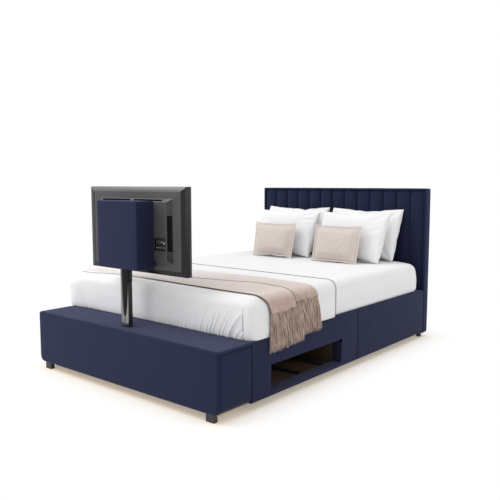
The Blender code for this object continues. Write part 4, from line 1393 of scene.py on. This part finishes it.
strand_dark = (0.17, 0.11, 0.08)
strand_light = (0.64, 0.485, 0.40)
fringe_wool, place = begin_material("fringe_wool", strand_light, Sheen_Weight=0.5, **wool_look)
streaks = place.outlet("UV").stretched(6.0, 150.0, 1.0).noise(1.0, 3.0, 0.7)
feed(fringe_wool, "Base Color", (streaks * 3.6 - 1.25).clamped().blend(strand_dark, strand_light))
raise_bump(fringe_wool, streaks, 0.0010, 0.6)
strand_radius = 0.0023
strand_pitch = 0.0036
strand_steps = 11
root_rise, root_sink = 0.006, 0.002
tier_rise, tier_sink, tier_gap = 0.004, 0.0015, 0.0042
tip_gap, tip_depth, tip_spread, tip_wander = 0.0010, 0.0030, 0.003, 0.008
front_slant = 0.012
strand_sway = 0.0016
tassel_strands = 3
rail_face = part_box("right_front_rail")[1].x + 0.0028
fringes = []
for layer, place_of, tiers in (("front", front_place, 3), ("rear", rear_place, 2)):
    shape = layers[layer]
    for side, name in ((-1, "left"), (1, "right")):
        strands = bmesh.new()
        cloth = strands.loops.layers.uv.new("cloth")
        first_tip, last_tip = shape["tips"]
        count = round((last_tip - first_tip) / strand_pitch)
        for tier in range(tiers):
            for number in range(count):
                mark = number + 1000 * tier + (500 if side < 0 else 0) + (250 if layer == "rear" else 0)
                share = min(0.995, max(0.005, (number + 0.5 + 0.4 * wobble(mark, 1)) / count))
                tassel = (number // tassel_strands + 0.5) * tassel_strands / count - share
                top = place_of(1.0 if side > 0 else 0.0, share)
                top.z += root_rise + tier_rise * tier
                root_x = abs(top.x) - root_sink - tier_sink * tier
                tip_y = first_tip + (last_tip - first_tip) * share + tip_spread * wobble(mark, 2)
                tip_z = shape["tip_z"] + tip_wander * wobble(mark, 3) + tip_wander * tier
                if layer == "front":
                    tip_z += front_slant * share
                tip_x = rail_face + strand_radius + tip_gap + tier_gap * tier
                tip_x += tip_depth * (1 + wobble(mark, 4)) / 2
                sway = strand_sway * wobble(mark, 5)
                beat = 1.5 + wobble(mark, 6)
                rings = []
                spine = []
                for step in range(strand_steps + 1):
                    down = step / strand_steps
                    eased = smooth_step(down * 1.6)
                    x = root_x + (tip_x - root_x) * eased
                    y = top.y + (tip_y - top.y) * down + sway * sin(pi * down * beat) * down
                    y += 0.3 * tassel * (shape["hem"][1] - shape["hem"][0]) * sin(pi * down) ** 0.5
                    z = top.z + (tip_z - top.z) * down
                    x += strand_sway * sin(down * 9 + mark)
                    spine.append(Vector((side * max(x, rail_face + strand_radius), y, z)))
                for step, centre in enumerate(spine):
                    before, after = spine[max(0, step - 1)], spine[min(strand_steps, step + 1)]
                    thin = 1 if step < strand_steps else 0.45
                    along = (after - before).normalized()
                    ring = strand_ring(centre, along, strand_radius * thin, 0.5 * step + mark)
                    rings.append([strands.verts.new(point) for point in ring])
                strip = (number // 2 + 50 * tier) * 0.013
                for step, (high, low) in enumerate(zip(rings, rings[1:])):
                    for i in range(4):
                        face = strands.faces.new([high[i], high[(i + 1) % 4], low[(i + 1) % 4], low[i]])
                        face.smooth = True
                        for loop, (a, b) in zip(face.loops, ((0, 0), (1, 0), (1, 1), (0, 1))):
                            loop[cloth].uv = ((step + b) * 0.02, strip + (i + a) * 0.001)
                strands.faces.new(rings[0])
                strands.faces.new(rings[-1][::-1])
        bmesh.ops.recalc_face_normals(strands, faces=strands.faces)
        fringe = piece_of("throw_" + layer + "_" + name + "_fringe", strands)
        finish_piece(fringe, "bed", fringe_wool, "taupe_wool")
        fringes.append((layer, fringe))

cord_lit_left_from = 0.10
cord_lit_left_run = 0.75
binding_steps = 300
brown_low = (0.10, 0.065, 0.05)
brown_high = (0.19, 0.13, 0.10)
shadow_cord_cloth, place = begin_material("shadow_cord_brown", brown_low, Roughness=0.9)
cord_lit_left = ((cord_lit_left_from - place.axes()[0]) * (1 / cord_lit_left_run)).clamped()
brown = place.noise(300.0, 2.0).blend(brown_low, brown_high)
feed(shadow_cord_cloth, "Base Color", cord_lit_left.blend(brown, lit_left_light))
# Two dark cords run along the front layer: one sunk under its front edge, a painted shadow under that
# edge, and one on its rear edge, painted shade along the fold. Towards the left both turn to the pale
# top colour, which is painted light.
shadow_cords = []
for name, share, radius, sink, forward in (
    ("front_shadow_cord", 0.0, 0.0034, 0.0052, -0.0008), ("fold_shadow_cord", 0.985, 0.0016, -0.0006, 0.0008),
):
    line = []
    for i in range(binding_steps + 1):
        point = front_place(i / binding_steps, share)
        outward = Vector((0, 0, 1))
        if abs(point.x) > flat_way:
            edge_x = flat_way if point.x > 0 else -flat_way
            outward = Vector((point.x - edge_x, 0, max(0, point.z - side_high))).normalized()
        line.append(point - outward * sink + Vector((0, forward, 0)))
    shadow_cord = tube_along("throw_" + name, line, radius, 2)
    finish_piece(shadow_cord, "bed", shadow_cord_cloth, "taupe_wool")
    shadow_cords.append(shadow_cord)
for layer, (cloth, length, width) in throw_layers.items():
    extras = [piece for kind, piece in fringes if kind == layer] + (shadow_cords if layer == "front" else [])


# Pillows and cushions: two cloths sewn together all round and filled. They lean on the headboard
# and on each other, the sleeping pillows at the back and two linen cushions with a flat border.

pillow_lean = radians(19)
case_grid = 0.0100
case_slack = 1.035
start_fill = 0.72
swell_pressure = 2.0
swell_frames = 22
case_bumps = 0.005
cap_share = 0.75
border_ripple = 0.0016
border_thinning = 0.7


def case_faces(width, height, thickness, bow, edge_fill, seed):
    """The two faces of a case that stands on its long side about the origin, its sides bowed out
    a little, which its filling then draws in again."""
    def face(sign):
        def place(across, up):
            u, v = 2 * across - 1, 2 * up - 1
            full = (max(0, 1 - abs(u) ** 2.6) * max(0, 1 - abs(v) ** 2.6)) ** edge_fill
            x = width / 2 * u * (1 + bow * (1 - v * v) * abs(u) ** 3)
            z = height / 2 * v * (1 + bow * (1 - u * u) * abs(v) ** 3)
            edge = min(1, 9 * across, 9 * (1 - across), 9 * up, 9 * (1 - up))
            bumps = noise.noise(Vector((x * 11, z * 11, seed + sign)))
            bumps += noise.noise(Vector((x * 31, z * 31, seed))) * 0.6
            return Vector((x, sign * thickness / 2 * full + case_bumps * edge * bumps, z))
        return place
    return face(-1), face(1)


def swell(case, thickness):
    """Blow a sewn case up until it is as thick as its filling makes it, so that its cloth wrinkles
    towards the seams."""
    choose(case)
    cloth = case.modifiers.new("cloth", "CLOTH")
    cloth.settings.quality = 6
    cloth.settings.mass = 0.25
    cloth.settings.tension_stiffness = 30
    cloth.settings.compression_stiffness = 20
    cloth.settings.shear_stiffness = 10
    cloth.settings.bending_stiffness = 0.08
    cloth.settings.use_pressure = True
    cloth.settings.uniform_pressure_force = swell_pressure
    cloth.settings.effector_weights.gravity = 0
    cloth.point_cache.frame_start = 1
    cloth.point_cache.frame_end = swell_frames
    for number in range(1, swell_frames + 1):
        bpy.context.scene.frame_set(number)
        seen = case.evaluated_get(bpy.context.evaluated_depsgraph_get()).data.vertices
        if max(vert.co.y for vert in seen) - min(vert.co.y for vert in seen) >= thickness:
            break
    bpy.ops.object.modifier_apply(modifier=cloth.name)
    bpy.context.scene.frame_set(1)


def fit_case(case, width, height, thickness, taper, creases):
    """Bring a case to its measured size, thin enough towards its long seams to lean on its
    neighbour, let it taper to its seams, and press its creases into the side that shows."""
    spans = [high - low for low, high in zip(*reach_of(case))]
    scale = Vector((width / spans[0], thickness / spans[1], height / spans[2]))
    for vert in case.data.vertices:
        x, y, z = vert.co * scale
        cap = thickness / 2 * max(0, 1 - (2 * z / height) ** 2) ** 0.5
        y = cap_share * max(-cap, min(cap, y)) + (1 - cap_share) * y
        to_seam = min(width / 2 - abs(x), height / 2 - abs(z))
        y *= smooth_step(0.1 + to_seam / taper) if taper else 1
        if y < 0:
            for start, end, depth, reach in creases:
                first = Vector((start[0] * width / 2, start[1] * height / 2))
                run = Vector((end[0] * width / 2, end[1] * height / 2)) - first
                share = max(0, min(1, (Vector((x, z)) - first).dot(run) / run.length_squared))
                off = (Vector((x, z)) - first - run * share).length
                ridge = exp(-(off / reach) ** 2) - 0.45 * exp(-((off - 1.9 * reach) / reach) ** 2)
                y += depth * ridge * sin(pi * (0.15 + 0.85 * share)) ** 0.5
        vert.co = (x, y, z)


def seam_edges(case):
    """The edges along which the two faces of a case are sewn together."""
    facing = {}
    for face in case.data.polygons:
        for key in face.edge_keys:
            facing.setdefault(key, set()).add(face.normal.y > 0)
    return {edge.index for edge in case.data.edges if len(facing.get(edge.key, ())) == 2}


def border_from(case, seam, reach, thickness):
    """A flat border of double cloth round a case, drawn out from its seam."""
    with editing(case, "EDGE", lambda edge: edge.index in seam):
        bpy.ops.mesh.duplicate()
        bpy.ops.mesh.separate(type="SELECTED")
    border = next(piece for piece in bpy.context.selected_objects if piece != case)
    spans = [high - low for low, high in zip(*reach_of(border))]
    steps = 4
    with editing(border, "EDGE"):
        for step in range(steps):
            grown = [1 + 2 * reach * (step + 1) / steps / spans[i] for i in (0, 2)]
            before = [1 + 2 * reach * step / steps / spans[i] for i in (0, 2)]
            growth = (grown[0] / before[0], border_thinning, grown[1] / before[1])
            bpy.ops.mesh.extrude_region_move()
            bpy.ops.transform.resize(value=growth, center_override=(0, 0, 0))
    for vert in border.data.vertices:
        vert.co.y += border_ripple * noise.noise(Vector((vert.co.x * 22, 0, vert.co.z * 22)))
    apply_modifier(border, "SOLIDIFY", thickness=thickness, offset=0)
    return border


def stand_pillow(piece, node, size, shift, narrow, forward):
    """Lean a pillow back about its middle where the model has it, flat where it stands on the
    mattress. Its lower side is shifted and narrowed, and its lower corners come forward."""
    low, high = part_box(node)
    turned = Matrix.Translation((low + high) / 2) @ Matrix.Rotation(-pillow_lean, 4, "X")
    for vert in piece.data.vertices:
        down = 0.5 - vert.co.z / size[1]
        aside = (2 * vert.co.x / size[0]) ** 2
        vert.co.x += down * (shift - narrow * vert.co.x)
        place = turned @ vert.co
        place.y -= forward * down * down * aside
        place.z = max(place.z, mattress_high.z + 0.0012)
        vert.co = place


back_size = (0.615, 0.405, 0.185)
front_size = (0.575, 0.380, 0.155)
cushion_size = (0.400, 0.282, 0.115)
border_reach = 0.014
cushion_bow = 0.008
border_thickness = 0.0022
pillows = (
    ("back_left_pillow", back_size, (0, 0.03, 0.018), (
        ((0.95, 0.95), (0.45, 0.50), 0.006, 0.012),
    )),
    ("back_right_pillow", back_size, (0, 0.03, 0.018), (
        ((0.96, 0.96), (0.60, 0.30), 0.006, 0.012), ((0.9, -0.9), (0.6, -0.3), 0.004, 0.012),
    )),
    ("front_left_pillow", front_size, (0, 0.05, 0.030), (
        ((0.96, 0.94), (0.55, 0.62), 0.006, 0.010), ((0.95, 0.55), (0.45, 0.50), 0.004, 0.010),
    )),
    ("front_right_pillow", front_size, (0, 0.05, 0.030), (
        ((0.96, 0.94), (0.62, 0.55), 0.007, 0.010), ((0.9, 0.3), (0.55, 0.1), 0.004, 0.012),
    )),
    ("left_cushion", cushion_size, (0.030, 0.05, 0), (
        ((0.66, 0.06), (0.28, -0.46), 0.006, 0.007), ((0.9, 0.86), (0.6, 0.5), 0.005, 0.008),
    )),
    ("right_cushion", cushion_size, (0.018, 0.05, 0), (
        ((0.70, 0.10), (0.24, -0.50), 0.006, 0.007), ((0.72, -0.14), (0.40, -0.58), 0.004, 0.006),
    )),
)

linen_light = (0.660, 0.590, 0.545)
linen_dark = (0.510, 0.440, 0.400)
linen_pitch = 0.0016
linen, place = begin_material(
    "beige_linen", linen_light, Roughness=0.92, Sheen_Weight=0.25, Specular_IOR_Level=0.15,
)
across, behind, up = place.axes()
thread = 2 * pi / linen_pitch
linen_weave = (across * thread).sine() * (up * thread).sine()
weft, warp = [place.stretched(*scale).noise(90.0, 4.0, 0.6) for scale in ((1, 1, 6), (6, 1, 1))]
slubs = weft + warp
yarn = (slubs * 0.9 + linen_weave * 0.10 - 0.35).clamped()
feed(linen, "Base Color", yarn.blend(linen_dark, linen_light))
raise_bump(linen, linen_weave * 0.3 + slubs * 0.6, 0.0005, 0.6)

for number, (node, size, low_side, creases) in enumerate(pillows):
    bordered = size == cushion_size
    width, height, thickness = size
    if bordered:
        width, height = width - 2 * border_reach, height - 2 * border_reach
    grids = round(width / case_grid), round(height / case_grid)
    fill = 0.94 if bordered else start_fill
    bow, edge_fill = (cushion_bow, 0.72) if bordered else (0, 0.42)
    faces = case_faces(
        width * case_slack, height * case_slack, thickness * fill, bow, edge_fill, 7.3 * number,
    )
    pillow = closed_pad(node + "_case", *grids, *faces)
    seam = seam_edges(pillow)
    swell(pillow, thickness * 1.08)
    fit_case(pillow, width, height, thickness, 0.060 if bordered else 0, creases)
    if bordered:
        border = border_from(pillow, seam, border_reach, border_thickness)
        pillow = join_pieces(node + "_case", [pillow, border])
    apply_modifier(pillow, "SUBSURF", levels=1, render_levels=1)
    stand_pillow(pillow, node, size, *low_side)
    smooth_shade(pillow, 80)
    cloth, slot = (linen, "beige_cloth") if bordered else (cotton, "white_cotton")
    finish_piece(pillow, "bed", cloth, slot, node, fill=0.75)
